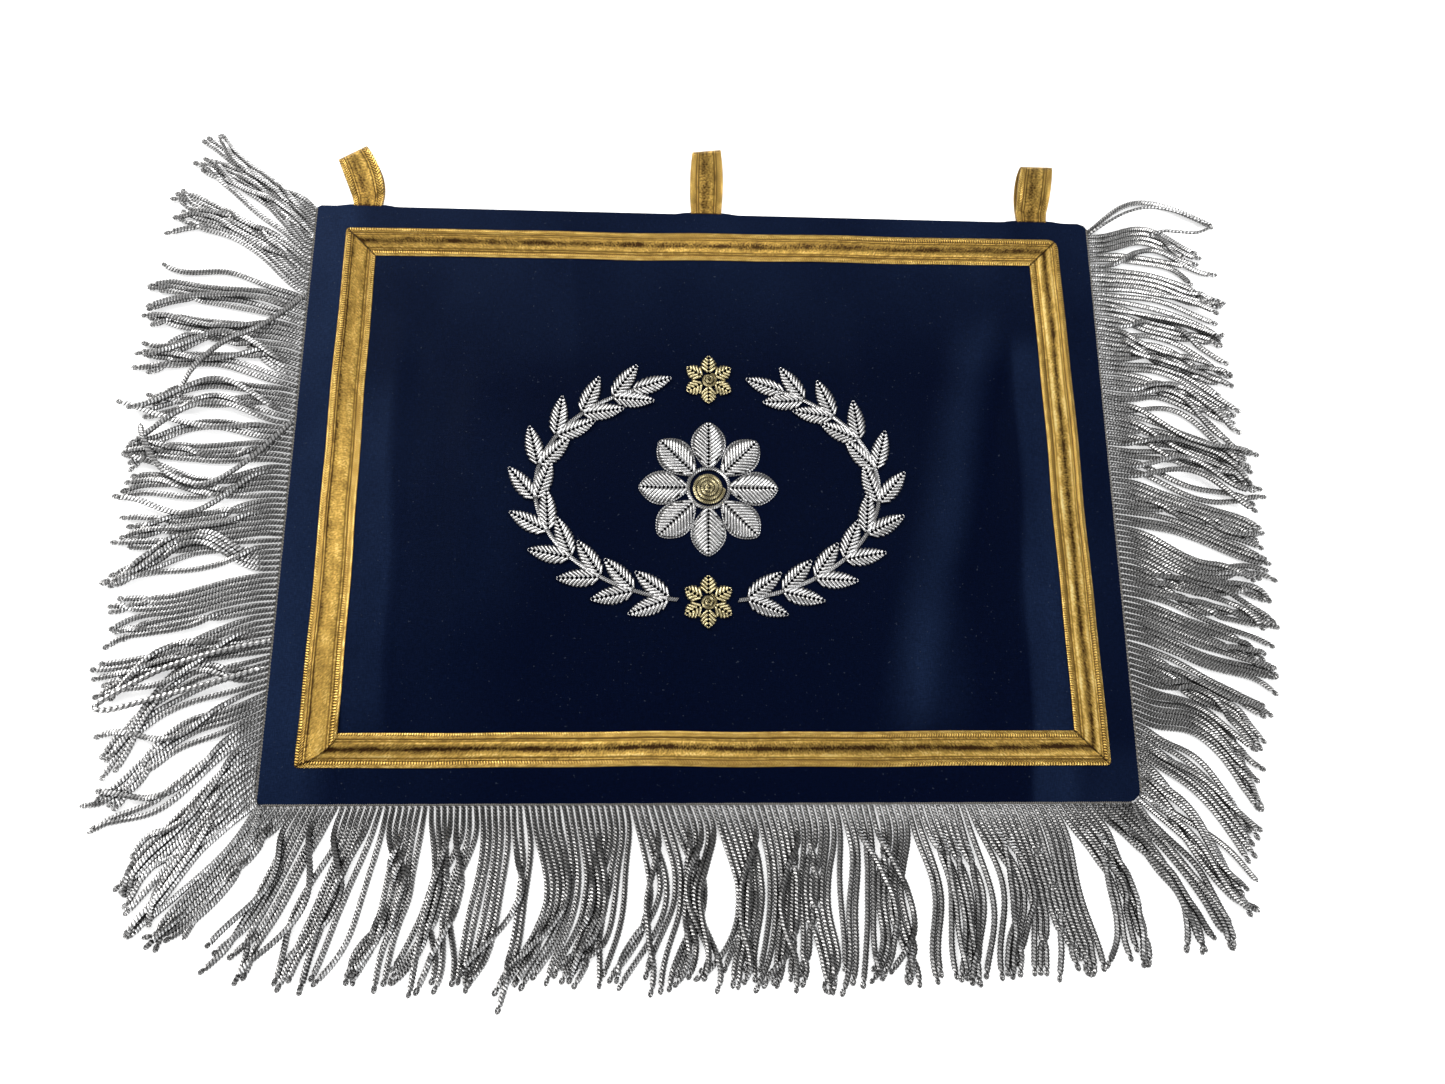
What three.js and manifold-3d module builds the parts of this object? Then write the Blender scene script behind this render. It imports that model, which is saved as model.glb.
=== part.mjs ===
// A fringed display flag lying face up. A dark blue cloth field carries a mitred gold braid border and a
// raised bullion garland round a rosette. Three gold braid loops stand open on its top edge, and silver
// bullion fringe lies fanned out along its other three edges.
// Millimetres: +X runs along the top edge, +Y towards the loops and +Z up from the surface that the flag
// lies on. The origin is under the middle of the field.

import * as THREE from "three";
import { mergeVertices } from "three/addons/utils/BufferGeometryUtils.js";
import Module from "manifold-3d";

const wasm = await Module();
wasm.setup();

// Driving dimensions of the cloth
const FIELD_WIDTH = 480;
const FIELD_HEIGHT = 356;
const CLOTH_THICKNESS = 2.2;
const CORNER_RADIUS = { topLeft: 3, topRight: 6, bottomRight: 10, bottomLeft: 5 };
const PIECE_GAP = 0.3;
const SEWN_LEVEL = CLOTH_THICKNESS + PIECE_GAP;
const HALF_WIDTH = FIELD_WIDTH / 2;
const HALF_HEIGHT = FIELD_HEIGHT / 2;

// The cloth's lattice of points, close together only where it ripples
const LATTICE_MARGIN = 12;
const LATTICE_X = [
  { to: -206, cells: 1 },
  { to: -106, cells: 9 },
  { to: 94, cells: 1 },
  { to: 206, cells: 10 },
  { to: HALF_WIDTH + LATTICE_MARGIN, cells: 1 },
];
const LATTICE_Y = [
  { to: -136, cells: 1 },
  { to: 124, cells: 14 },
  { to: HALF_HEIGHT + LATTICE_MARGIN, cells: 1 },
];

// Soft ripples of the field inside its border. Each crest runs from its upper to its lower end, is
// `spread` wide on each side, stands `lift` above the surface, and dies away over its last `fade` mm.
const RIPPLE_FADE = 45;
const RIPPLES = [
  { upperX: 168, upperY: 112, lowerX: 118, lowerY: -132, spread: 24, lift: 2.0 },
  { upperX: 186, upperY: 70, lowerX: 184, lowerY: -130, spread: 13, lift: 1.1 },
  { upperX: -184, upperY: 120, lowerX: -182, lowerY: -132, spread: 15, lift: 1.3 },
  { upperX: -134, upperY: 90, lowerX: -142, lowerY: -128, spread: 20, lift: 1.5 },
];

// The gold braid border: its corners from the field's middle, outside and inside
const BRAID_CORNERS = {
  topLeft: { outer: [-220.8, 163.0], inner: [-201.8, 144.4] },
  topRight: { outer: [219.8, 166.0], inner: [200.8, 147.4] },
  bottomRight: { outer: [224.0, -157.6], inner: [204.6, -138.4] },
  bottomLeft: { outer: [-221.0, -158.4], inner: [-199.6, -139.8] },
};
const BRAID_STEP = 55;
const BRAID_WAVER = 0.4;
const BRAID_WAVER_PHASE = 1.9;

// The braid's woven relief: height at each share of its width, from one selvedge to the other
const BRAID_RELIEF = [
  { across: 0, height: 0.7 },
  { across: 0.17, height: 1.0 },
  { across: 0.23, height: 0.75 },
  { across: 0.29, height: 1.25 },
  { across: 0.42, height: 1.15 },
  { across: 0.58, height: 1.3 },
  { across: 0.71, height: 1.25 },
  { across: 0.77, height: 0.75 },
  { across: 0.83, height: 1.0 },
  { across: 1, height: 0.7 },
];

// The hanging loops of folded braid: where each leaves the top edge, how far it reaches out from it, how
// far its far end has moved along the edge, how far that end is turned, and how much it has spread
const LOOP_THICKNESS = 1.2;
const CURVE_SEGMENTS = 6;
const LOOP_END_RADIUS = 4.6;
const LOOP_ROOT_LENGTH = 6;
const LOOP_BULGE = 13;
const HEM_RISE = 1.2;
const HEM_RISE_SLOPE = 10;
const LOOPS = [
  { name: "loop_left", x: -209.4, width: 17, length: 33, shift: -11, turn: 34, flare: 0.88 },
  { name: "loop_middle", x: -1.6, width: 19, length: 41, shift: 0, turn: 8, flare: 0.92 },
  { name: "loop_right", x: 204.6, width: 18.7, length: 36, shift: 4.3, turn: 0, flare: 1.07 },
];

// The fringe: a heading strip with its cords lying fanned out from it on the surface
const HEADING_WIDTH = 2;
const HEADING_HEIGHT = 2.4;
const CORD_WIDTH = 2.3;
const CORD_HEIGHT = 2.3;
const CORD_SPACING = CORD_WIDTH + 0.5;
const CORD_STEPS = 3;
const CORD_LENGTH_SPREAD = 3.5;
const CORD_LENGTH_PHASE = 2.4;
const LOCK_CLOSED_AT = 0.7;

// The locks of each fringe, one after another along its edge. `root` and `tip` are the ways that a lock's
// cords leave the heading and point at their ends, in degrees from straight out, positive towards the
// end of the edge. `gather` is how far the cords close up on the lock's middle, by LOCK_CLOSED_AT of
// their length.
const LEFT_LOCKS = [
  { cords: 3, root: -44, tip: -54, length: 82, gather: 0.1 },
  { cords: 6, root: -42, tip: -26, length: 88, gather: 0.3 },
  { cords: 6, root: -34, tip: -12, length: 92, gather: 0.34 },
  { cords: 5, root: -24, tip: 4, length: 92, gather: 0.34 },
  { cords: 4, root: -20, tip: 6, length: 90, gather: 0.3 },
  { cords: 6, root: -16, tip: 8, length: 90, gather: 0.34 },
  { cords: 5, root: -14, tip: 14, length: 88, gather: 0.3 },
  { cords: 7, root: -9, tip: 8, length: 92, gather: 0.34 },
  { cords: 5, root: -2, tip: 8, length: 90, gather: 0.34 },
  { cords: 6, root: -2, tip: 14, length: 86, gather: 0.3 },
  { cords: 5, root: 2, tip: 16, length: 90, gather: 0.34 },
  { cords: 6, root: 4, tip: 22, length: 90, gather: 0.3 },
  { cords: 6, root: 10, tip: 30, length: 94, gather: 0.3 },
  { cords: 5, root: 18, tip: 38, length: 96, gather: 0.2 },
  { cords: 6, root: 26, tip: 44, length: 96, gather: 0.1 },
  { cords: 5, root: 34, tip: 50, length: 92, gather: 0 },
  { cords: 4, root: 42, tip: 54, length: 86, gather: 0 },
];
const BOTTOM_LOCKS = [
  { cords: 5, root: -26, tip: -34, length: 84, gather: 0.1 },
  { cords: 5, root: -18, tip: -28, length: 90, gather: 0.25 },
  { cords: 6, root: -12, tip: -24, length: 92, gather: 0.32 },
  { cords: 6, root: -4, tip: -24, length: 90, gather: 0.34 },
  { cords: 5, root: 4, tip: -22, length: 90, gather: 0.3 },
  { cords: 7, root: 8, tip: -22, length: 90, gather: 0.34 },
  { cords: 2, root: 10, tip: -18, length: 98, gather: 0.2 },
  { cords: 6, root: 12, tip: -26, length: 90, gather: 0.34 },
  { cords: 7, root: 16, tip: -28, length: 90, gather: 0.34 },
  { cords: 6, root: 20, tip: -30, length: 92, gather: 0.32 },
  { cords: 7, root: 24, tip: -26, length: 92, gather: 0.34 },
  { cords: 6, root: 20, tip: -18, length: 90, gather: 0.34 },
  { cords: 6, root: 16, tip: -14, length: 92, gather: 0.3 },
  { cords: 5, root: 14, tip: -10, length: 90, gather: 0.34 },
  { cords: 7, root: 14, tip: -12, length: 90, gather: 0.34 },
  { cords: 6, root: 16, tip: -10, length: 90, gather: 0.3 },
  { cords: 6, root: 18, tip: -6, length: 90, gather: 0.34 },
  { cords: 6, root: 22, tip: -4, length: 89, gather: 0.32 },
  { cords: 6, root: 26, tip: 0, length: 88, gather: 0.3 },
  { cords: 5, root: 32, tip: 4, length: 86, gather: 0.25 },
  { cords: 5, root: 38, tip: 12, length: 84, gather: 0.1 },
];
const RIGHT_LOCKS = [
  { cords: 1, root: -34, tip: 24, length: 86, gather: 0 },
  { cords: 5, root: -4, tip: 14, length: 66, gather: 0.3 },
  { cords: 6, root: 2, tip: 22, length: 80, gather: 0.34 },
  { cords: 5, root: 6, tip: 24, length: 80, gather: 0.3 },
  { cords: 6, root: 8, tip: 24, length: 80, gather: 0.34 },
  { cords: 6, root: 8, tip: 28, length: 84, gather: 0.34 },
  { cords: 5, root: 10, tip: 34, length: 92, gather: 0.3 },
  { cords: 6, root: 8, tip: 26, length: 90, gather: 0.34 },
  { cords: 5, root: 6, tip: 28, length: 90, gather: 0.34 },
  { cords: 6, root: 8, tip: 32, length: 90, gather: 0.3 },
  { cords: 6, root: 8, tip: 22, length: 92, gather: 0.34 },
  { cords: 5, root: 10, tip: 30, length: 90, gather: 0.3 },
  { cords: 6, root: 12, tip: 30, length: 88, gather: 0.3 },
  { cords: 6, root: 16, tip: 38, length: 84, gather: 0.25 },
  { cords: 6, root: 22, tip: 46, length: 82, gather: 0.1 },
  { cords: 5, root: 32, tip: 54, length: 82, gather: 0 },
  { cords: 4, root: 42, tip: 58, length: 78, gather: 0 },
];

// Where each fringe runs: the first point of its heading and the directions along and away from the edge
const HEADING_INSET = 4;
const HEADING_CENTRE = PIECE_GAP + HEADING_WIDTH / 2;
const FRINGES = [
  {
    name: "fringe_left",
    locks: LEFT_LOCKS,
    start: [-HALF_WIDTH - HEADING_CENTRE, HALF_HEIGHT - HEADING_INSET / 2],
    along: [0, -1],
    away: [-1, 0],
    length: FIELD_HEIGHT - HEADING_INSET,
  },
  {
    name: "fringe_bottom",
    locks: BOTTOM_LOCKS,
    start: [-HALF_WIDTH + HEADING_INSET, -HALF_HEIGHT - HEADING_CENTRE],
    along: [1, 0],
    away: [0, -1],
    length: FIELD_WIDTH - 2 * HEADING_INSET - HEADING_INSET / 2,
  },
  {
    name: "fringe_right",
    locks: RIGHT_LOCKS,
    start: [HALF_WIDTH + HEADING_CENTRE, HALF_HEIGHT - HEADING_INSET],
    along: [0, -1],
    away: [1, 0],
    length: FIELD_HEIGHT - 2.5 * HEADING_INSET,
  },
];

// The embroidery: leaves in pairs along the two halves of an oval, and two sorts of flower
const PAD_EDGE = 0.8;
const PAD_CROWN = 1.7;
const PAD_SIDES = 6;
const GARLAND = { radiusX: 100, radiusY: 67, startAngle: 10, endAngle: 25, pairs: 10 };
const STEM = { width: 3, height: 1.2, steps: 14, lastLeafAt: 0.98 };
const LEAF = { length: 26, width: 10, splay: 29 };
const FLOWER = { petals: 6, reach: 15, petalLength: 12, petalWidth: 9.5, heart: 5 };
const ROSETTE = { petals: 8, reach: 40, petalLength: 29, petalWidth: 20, heart: 14 };
const ROSETTE_CENTRE_RADIUS = 10;

const COLOURS = {
  cloth: { color: 0x101a2e, roughness: 0.75, metalness: 0 },
  goldBraid: { color: 0xb8893c, roughness: 0.45, metalness: 0.55 },
  silverBullion: { color: 0xb4b2ac, roughness: 0.42, metalness: 0.6 },
  paleGoldBullion: { color: 0xb9ae84, roughness: 0.42, metalness: 0.6 },
  silverFringe: { color: 0x8e8d8a, roughness: 0.45, metalness: 0.65 },
};

// Joining and cutting solids

function solidOf(geometry) {
  const bare = geometry.clone();
  bare.deleteAttribute("normal");
  bare.deleteAttribute("uv");
  const merged = mergeVertices(bare, 1e-4);
  return new wasm.Manifold(
    new wasm.Mesh({
      numProp: 3,
      vertProperties: new Float32Array(merged.attributes.position.array),
      triVerts: new Uint32Array(merged.index.array),
    }),
  );
}

function geometryOf(solid) {
  const mesh = solid.getMesh();
  const geometry = new THREE.BufferGeometry();
  geometry.setAttribute("position", new THREE.BufferAttribute(mesh.vertProperties, 3));
  geometry.setIndex(new THREE.BufferAttribute(mesh.triVerts, 1));
  return geometry;
}

function joined(geometries) {
  return geometryOf(wasm.Manifold.union(geometries.map(solidOf)));
}

// Gives every point of a geometry a new place, worked out from its old one.
function reshape(geometry, place) {
  const points = geometry.getAttribute("position");
  const point = new THREE.Vector3();
  for (let i = 0; i < points.count; i++) {
    place(point.fromBufferAttribute(points, i));
    points.setXYZ(i, point.x, point.y, point.z);
  }
  return geometry;
}

function named(name, geometry, colour) {
  geometry.computeVertexNormals();
  const mesh = new THREE.Mesh(geometry, new THREE.MeshStandardMaterial(COLOURS[colour]));
  mesh.name = name;
  return mesh;
}

// The cloth field

// How high the cloth's underside stands above the surface at one place.
function rippleLift(x, y) {
  let lift = 0;
  for (const ripple of RIPPLES) {
    const share = (ripple.upperY - y) / (ripple.upperY - ripple.lowerY);
    const crestX = ripple.upperX + (ripple.lowerX - ripple.upperX) * share;
    const aside = Math.min(Math.abs(x - crestX) / ripple.spread, 1);
    const fromEnd = Math.min(ripple.upperY - y, y - ripple.lowerY);
    const ending = THREE.MathUtils.smoothstep(fromEnd, 0, RIPPLE_FADE);
    lift += (ripple.lift * ending * (1 + Math.cos(Math.PI * aside))) / 2;
  }
  return lift;
}

// The turned edge, with rounded corners and a slight rise where each loop is sewn in.
function fieldOutline() {
  const r = CORNER_RADIUS;
  const quarter = Math.PI / 2;
  const right = HALF_WIDTH;
  const top = HALF_HEIGHT;
  const outline = new THREE.Shape();
  outline.absarc(right - r.bottomRight, r.bottomRight - top, r.bottomRight, -quarter, 0);
  outline.absarc(right - r.topRight, top - r.topRight, r.topRight, 0, quarter);
  for (const loop of LOOPS.toReversed()) {
    const half = loop.width / 2 + 1;
    outline.lineTo(loop.x + half + HEM_RISE_SLOPE, top);
    outline.lineTo(loop.x + half, top + HEM_RISE);
    outline.lineTo(loop.x - half, top + HEM_RISE);
    outline.lineTo(loop.x - half - HEM_RISE_SLOPE, top);
  }
  outline.absarc(r.topLeft - right, top - r.topLeft, r.topLeft, quarter, 2 * quarter);
  outline.absarc(r.bottomLeft - right, r.bottomLeft - top, r.bottomLeft, 2 * quarter, 3 * quarter);
  return outline;
}

// The places of the lattice's lines, span after span.
function stations(from, spans) {
  const places = [from];
  for (const span of spans) {
    const start = places.at(-1);
    for (let k = 1; k <= span.cells; k++) places.push(start + ((span.to - start) * k) / span.cells);
  }
  return places;
}

function field() {
  const columns = stations(-HALF_WIDTH - LATTICE_MARGIN, LATTICE_X);
  const rows = stations(-HALF_HEIGHT - LATTICE_MARGIN, LATTICE_Y);
  const lastColumn = columns.length - 1;
  const lastRow = rows.length - 1;
  const sheet = new THREE.BoxGeometry(1, 1, CLOTH_THICKNESS, lastColumn, lastRow, 1);
  reshape(sheet, (p) => {
    const x = columns[Math.round((p.x + 0.5) * lastColumn)];
    const y = rows[Math.round((p.y + 0.5) * lastRow)];
    p.set(x, y, p.z + CLOTH_THICKNESS / 2 + rippleLift(x, y));
  });
  const cutter = new THREE.ExtrudeGeometry(fieldOutline(), {
    depth: 4 * CLOTH_THICKNESS,
    bevelEnabled: false,
    curveSegments: CURVE_SEGMENTS,
  });
  cutter.translate(0, 0, -CLOTH_THICKNESS);
  return named("field", geometryOf(solidOf(sheet).intersect(solidOf(cutter))), "cloth");
}

// The braid border

function braidSection() {
  const section = new THREE.Shape();
  section.moveTo(0, 0);
  section.lineTo(1, 0);
  for (const rib of BRAID_RELIEF.toReversed()) section.lineTo(rib.across, rib.height);
  return section;
}

// One straight length of braid between two mitred corners, a gap short of its neighbours.
function braid(name, from, to) {
  const runLength = Math.hypot(to.outer[0] - from.outer[0], to.outer[1] - from.outer[1]);
  const steps = Math.round(runLength / BRAID_STEP);
  const strip = new THREE.ExtrudeGeometry(braidSection(), { depth: 1, steps, bevelEnabled: false });
  const end = PIECE_GAP / Math.SQRT2 / runLength;
  const direction = [(to.outer[0] - from.outer[0]) / runLength, (to.outer[1] - from.outer[1]) / runLength];
  reshape(strip, (p) => {
    const along = end + p.z * (1 - 2 * end);
    const across = p.x;
    const waver = BRAID_WAVER * Math.sin(Math.PI * p.z) * Math.sin(p.z * steps * BRAID_WAVER_PHASE);
    const edge = [0, 1].map((axis) => {
      const outer = THREE.MathUtils.lerp(from.outer[axis], to.outer[axis], along);
      const inner = THREE.MathUtils.lerp(from.inner[axis], to.inner[axis], along);
      return THREE.MathUtils.lerp(outer, inner, across);
    });
    p.set(edge[0] - direction[1] * waver, edge[1] + direction[0] * waver, p.y + SEWN_LEVEL);
  });
  return named(name, joined([strip]), "goldBraid");
}

function border() {
  const { topLeft, topRight, bottomRight, bottomLeft } = BRAID_CORNERS;
  return [
    braid("braid_top", topRight, topLeft),
    braid("braid_left", topLeft, bottomLeft),
    braid("braid_bottom", bottomLeft, bottomRight),
    braid("braid_right", bottomRight, topRight),
  ];
}

// The hanging loops

// A loop from the side: the braid lies along the surface, turns up at its far end and bows back to its root.
function loopSection(length) {
  const r = LOOP_END_RADIUS;
  const t = LOOP_THICKNESS;
  const endX = length - r;
  const quarter = Math.PI / 2;
  const section = new THREE.Shape();
  section.moveTo(0, 0);
  section.lineTo(endX, 0);
  section.absarc(endX, r, r, -quarter, quarter);
  section.quadraticCurveTo(LOOP_BULGE, 2 * r, LOOP_ROOT_LENGTH, 2 * t);
  section.lineTo(0, 2 * t);
  const hollow = new THREE.Path();
  hollow.moveTo(LOOP_ROOT_LENGTH + 2 * t, t);
  hollow.lineTo(endX, t);
  hollow.absarc(endX, r, r - t, -quarter, quarter);
  hollow.quadraticCurveTo(LOOP_BULGE + 2 * t, 2 * r - t, LOOP_ROOT_LENGTH + 2 * t, t);
  section.holes.push(hollow);
  return section;
}

function hangingLoop({ name, x, width, length, shift, turn, flare }) {
  const ribbon = new THREE.ExtrudeGeometry(loopSection(length), {
    depth: width,
    bevelEnabled: false,
    curveSegments: CURVE_SEGMENTS,
  });
  const tipRise = Math.tan(THREE.MathUtils.degToRad(turn));
  reshape(ribbon, (p) => {
    const outward = p.x / length;
    const across = (p.z - width / 2) * THREE.MathUtils.lerp(1, flare, outward);
    const far = outward * outward;
    const rise = far * across * tipRise;
    p.set(x + across + far * shift, HALF_HEIGHT + HEM_RISE + PIECE_GAP + p.x + rise, p.y);
  });
  return named(name, joined([ribbon]), "goldBraid");
}

// The fringe

// One cord's route as rows of { along, out }: how far each of its stations is along the edge and out from it.
function cordRoute(lock, rootAt, middleAt, index) {
  const uneven = CORD_LENGTH_SPREAD * Math.sin(index * CORD_LENGTH_PHASE);
  const stepLength = (lock.length + uneven) / CORD_STEPS;
  const route = [{ along: rootAt, out: 0 }];
  let drift = 0;
  let out = 0;
  for (let step = 1; step <= CORD_STEPS; step++) {
    const way = THREE.MathUtils.lerp(lock.root, lock.tip, (step - 0.5) / CORD_STEPS);
    const closing = lock.gather * THREE.MathUtils.smoothstep(step / CORD_STEPS, 0, LOCK_CLOSED_AT);
    drift += stepLength * Math.sin(THREE.MathUtils.degToRad(way));
    out += stepLength * Math.cos(THREE.MathUtils.degToRad(way));
    route.push({ along: rootAt + drift - closing * (rootAt - middleAt), out });
  }
  return route;
}

// Where a route lies at one distance out from the edge, how steeply it runs, and which station comes next.
function placeOn(route, out) {
  const found = route.findIndex((station) => station.out > out);
  const next = found < 0 ? CORD_STEPS : found;
  const from = route[next - 1];
  const to = route[next];
  const slope = (to.along - from.along) / (to.out - from.out);
  return { along: from.along + slope * (out - from.out), slope, next };
}

// Moves each cord along the edge, from where it is too close on, until it clears the one before it.
function spreadApart(routes) {
  for (let i = 1; i < routes.length; i++) {
    const reach = Math.min(routes[i - 1].at(-1).out, routes[i].at(-1).out);
    for (let out = CORD_SPACING; out < reach + CORD_SPACING; out += CORD_SPACING) {
      const before = placeOn(routes[i - 1], out);
      const here = placeOn(routes[i], out);
      const wanted = before.along + CORD_SPACING * Math.hypot(1, before.slope);
      const push = Math.max(0, wanted - here.along);
      for (const station of routes[i].slice(Math.max(1, here.next - 1))) station.along += push;
    }
  }
  return routes;
}

function fringeRoutes(locks, length) {
  const count = locks.reduce((sum, lock) => sum + lock.cords, 0);
  const pitch = length / count;
  const routes = [];
  for (const lock of locks) {
    const firstAt = (routes.length + 0.5) * pitch;
    const middleAt = firstAt + ((lock.cords - 1) * pitch) / 2;
    for (let k = 0; k < lock.cords; k++) {
      routes.push(cordRoute(lock, firstAt + k * pitch, middleAt, routes.length));
    }
  }
  return spreadApart(routes);
}

// A three-sided cord that lies on the surface through a row of points.
function cord(points) {
  const section = new THREE.Shape();
  section.moveTo(-CORD_WIDTH / 2, 0);
  section.lineTo(CORD_WIDTH / 2, 0);
  section.lineTo(0, CORD_HEIGHT);
  const straight = new THREE.ExtrudeGeometry(section, { depth: 1, steps: CORD_STEPS, bevelEnabled: false });
  return reshape(straight, (p) => {
    const step = Math.round(p.z * CORD_STEPS);
    const ahead = points[Math.min(step + 1, CORD_STEPS)];
    const behind = points[Math.max(step - 1, 0)];
    const way = ahead.clone().sub(behind).normalize();
    p.set(points[step].x - way.y * p.x, points[step].y + way.x * p.x, p.y);
  });
}

function fringe({ name, locks, start, along, away, length }) {
  const toWorld = ({ along: s, out }) =>
    new THREE.Vector2(start[0] + along[0] * s + away[0] * out, start[1] + along[1] * s + away[1] * out);
  const heading = new THREE.BoxGeometry(
    Math.abs(along[0]) * length + Math.abs(away[0]) * HEADING_WIDTH,
    Math.abs(along[1]) * length + Math.abs(away[1]) * HEADING_WIDTH,
    HEADING_HEIGHT,
  );
  const middle = toWorld({ along: length / 2, out: 0 });
  heading.translate(middle.x, middle.y, HEADING_HEIGHT / 2);
  const cords = fringeRoutes(locks, length).map((route) => cord(route.map(toWorld)));
  return named(name, joined([heading, ...cords]), "silverFringe");
}

// The embroidery

// A crowned, pointed pad such as a leaf or a petal, lying along +X from its base at the origin.
function pad(length, width) {
  const shape = new THREE.CylinderGeometry(1, 1, 1, PAD_SIDES, 1);
  shape.rotateX(Math.PI / 2);
  return reshape(shape, (p) => {
    const onRim = Math.hypot(p.x, p.y) > 0.5;
    const height = onRim ? PAD_EDGE : PAD_CROWN;
    p.set(((1 + p.y) * length) / 2, (-p.x * width) / 2, p.z > 0 ? height : 0);
  });
}

// A round pad, crowned in its middle.
function dome(radius) {
  const shape = new THREE.CylinderGeometry(radius, radius, 1, 2 * PAD_SIDES, 1);
  shape.rotateX(Math.PI / 2);
  return reshape(shape, (p) => {
    const onRim = Math.hypot(p.x, p.y) > radius / 2;
    p.z = p.z > 0 ? (onRim ? PAD_EDGE : PAD_CROWN) : 0;
  });
}

function ring(innerRadius, outerRadius) {
  const profile = [
    new THREE.Vector2(innerRadius, 0),
    new THREE.Vector2(outerRadius, 0),
    new THREE.Vector2(outerRadius, PAD_EDGE),
    new THREE.Vector2(innerRadius, PAD_EDGE),
    new THREE.Vector2(innerRadius, 0),
  ];
  return new THREE.LatheGeometry(profile, 2 * PAD_SIDES).rotateX(Math.PI / 2);
}

function petalPads({ petals, reach, petalLength, petalWidth }) {
  const pads = [];
  for (let k = 0; k < petals; k++) {
    const petal = pad(petalLength, petalWidth).translate(reach - petalLength, 0, 0);
    pads.push(petal.rotateZ(Math.PI / 2 + (2 * Math.PI * k) / petals));
  }
  return pads;
}

function smallFlower(name, y) {
  const flower = joined([...petalPads(FLOWER), dome(FLOWER.heart)]);
  return named(name, flower.translate(0, y, SEWN_LEVEL), "paleGoldBullion");
}

function rosette() {
  const petals = joined([...petalPads(ROSETTE), ring(ROSETTE_CENTRE_RADIUS + PIECE_GAP, ROSETTE.heart)]);
  const centre = joined([dome(ROSETTE_CENTRE_RADIUS)]);
  return [
    named("rosette", petals.translate(0, 0, SEWN_LEVEL), "silverBullion"),
    named("rosette_centre", centre.translate(0, 0, SEWN_LEVEL), "paleGoldBullion"),
  ];
}

// Half of the oval: a stem that rises from the lower flower towards the upper one, with its leaves in pairs
// and one more at its end. `side` is 1 for the right half and -1 for the left.
function spray(name, side) {
  const angleOf = (degrees) => THREE.MathUtils.degToRad(side > 0 ? degrees : 180 - degrees);
  const oval = new THREE.EllipseCurve(
    0,
    0,
    GARLAND.radiusX,
    GARLAND.radiusY,
    angleOf(GARLAND.startAngle - 90),
    angleOf(90 - GARLAND.endAngle),
    side < 0,
  );
  const stemPoints = oval.getSpacedPoints(STEM.steps).map((p) => new THREE.Vector3(p.x, p.y, 0));
  const stemSection = new THREE.Shape();
  stemSection.moveTo(0, -STEM.width / 2);
  stemSection.lineTo(0, STEM.width / 2);
  stemSection.lineTo(-STEM.height, STEM.width / 4);
  stemSection.lineTo(-STEM.height, -STEM.width / 4);
  const stem = new THREE.ExtrudeGeometry(stemSection, {
    steps: STEM.steps,
    extrudePath: new THREE.CatmullRomCurve3(stemPoints),
    bevelEnabled: false,
  });
  const leaf = (share, turn) => {
    const base = oval.getPointAt(share);
    const way = oval.getTangentAt(share).angle() + THREE.MathUtils.degToRad(turn);
    return pad(LEAF.length, LEAF.width).rotateZ(way).translate(base.x, base.y, 0);
  };
  const leaves = [leaf(STEM.lastLeafAt, 0)];
  for (let k = 0; k < GARLAND.pairs; k++) {
    const share = (k + 0.2) / GARLAND.pairs;
    leaves.push(leaf(share, LEAF.splay), leaf(share, -LEAF.splay));
  }
  return named(name, joined([stem, ...leaves]).translate(0, 0, SEWN_LEVEL), "silverBullion");
}

const flag = new THREE.Group();
flag.add(
  field(),
  ...border(),
  ...LOOPS.map(hangingLoop),
  ...FRINGES.map(fringe),
  spray("garland_left", -1),
  spray("garland_right", 1),
  smallFlower("flower_top", GARLAND.radiusY),
  smallFlower("flower_bottom", -GARLAND.radiusY),
  ...rosette(),
);
export default flag;
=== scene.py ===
"""Looks of a fringed display flag that lies face up on a pale surface.

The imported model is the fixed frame. Each class builds one sub-assembly of the flag round it,
dresses it in a finish of its own and says which solids it stands for. Sizes are in millimetres
until a mesh is written, and the axes are the frame's: +X along the top edge, +Y towards the
hanging loops, +Z up.
"""

from __future__ import annotations

import logging
import math
from collections.abc import Callable, Sequence
from dataclasses import dataclass, field
from enum import Enum
from functools import cached_property

import bmesh
import bpy
import numpy as np
from mathutils import Matrix, Vector

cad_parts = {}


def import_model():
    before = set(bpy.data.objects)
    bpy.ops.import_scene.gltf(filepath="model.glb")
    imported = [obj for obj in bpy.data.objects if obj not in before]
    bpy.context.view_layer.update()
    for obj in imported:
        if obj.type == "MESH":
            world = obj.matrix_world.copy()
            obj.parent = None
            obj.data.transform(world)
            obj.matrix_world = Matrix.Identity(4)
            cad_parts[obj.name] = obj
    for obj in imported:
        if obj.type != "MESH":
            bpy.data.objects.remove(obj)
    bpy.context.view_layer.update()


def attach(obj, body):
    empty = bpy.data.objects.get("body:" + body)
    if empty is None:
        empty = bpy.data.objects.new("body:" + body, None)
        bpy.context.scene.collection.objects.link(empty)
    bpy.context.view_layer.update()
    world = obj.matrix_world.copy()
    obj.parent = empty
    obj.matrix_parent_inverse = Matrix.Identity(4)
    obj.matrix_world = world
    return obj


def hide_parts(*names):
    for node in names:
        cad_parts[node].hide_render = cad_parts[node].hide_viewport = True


logging.basicConfig(level=logging.INFO, format="%(message)s")
LOG = logging.getLogger("flag")

MM = 0.001
BODY = "root"
Colour = tuple[float, float, float]

FIELD_WIDTH = 480.0
FIELD_HEIGHT = 356.0
HALF_WIDTH = FIELD_WIDTH / 2
HALF_HEIGHT = FIELD_HEIGHT / 2
CLOTH_THICKNESS = 2.2
BRAID_WIDTH = 19.0


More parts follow.
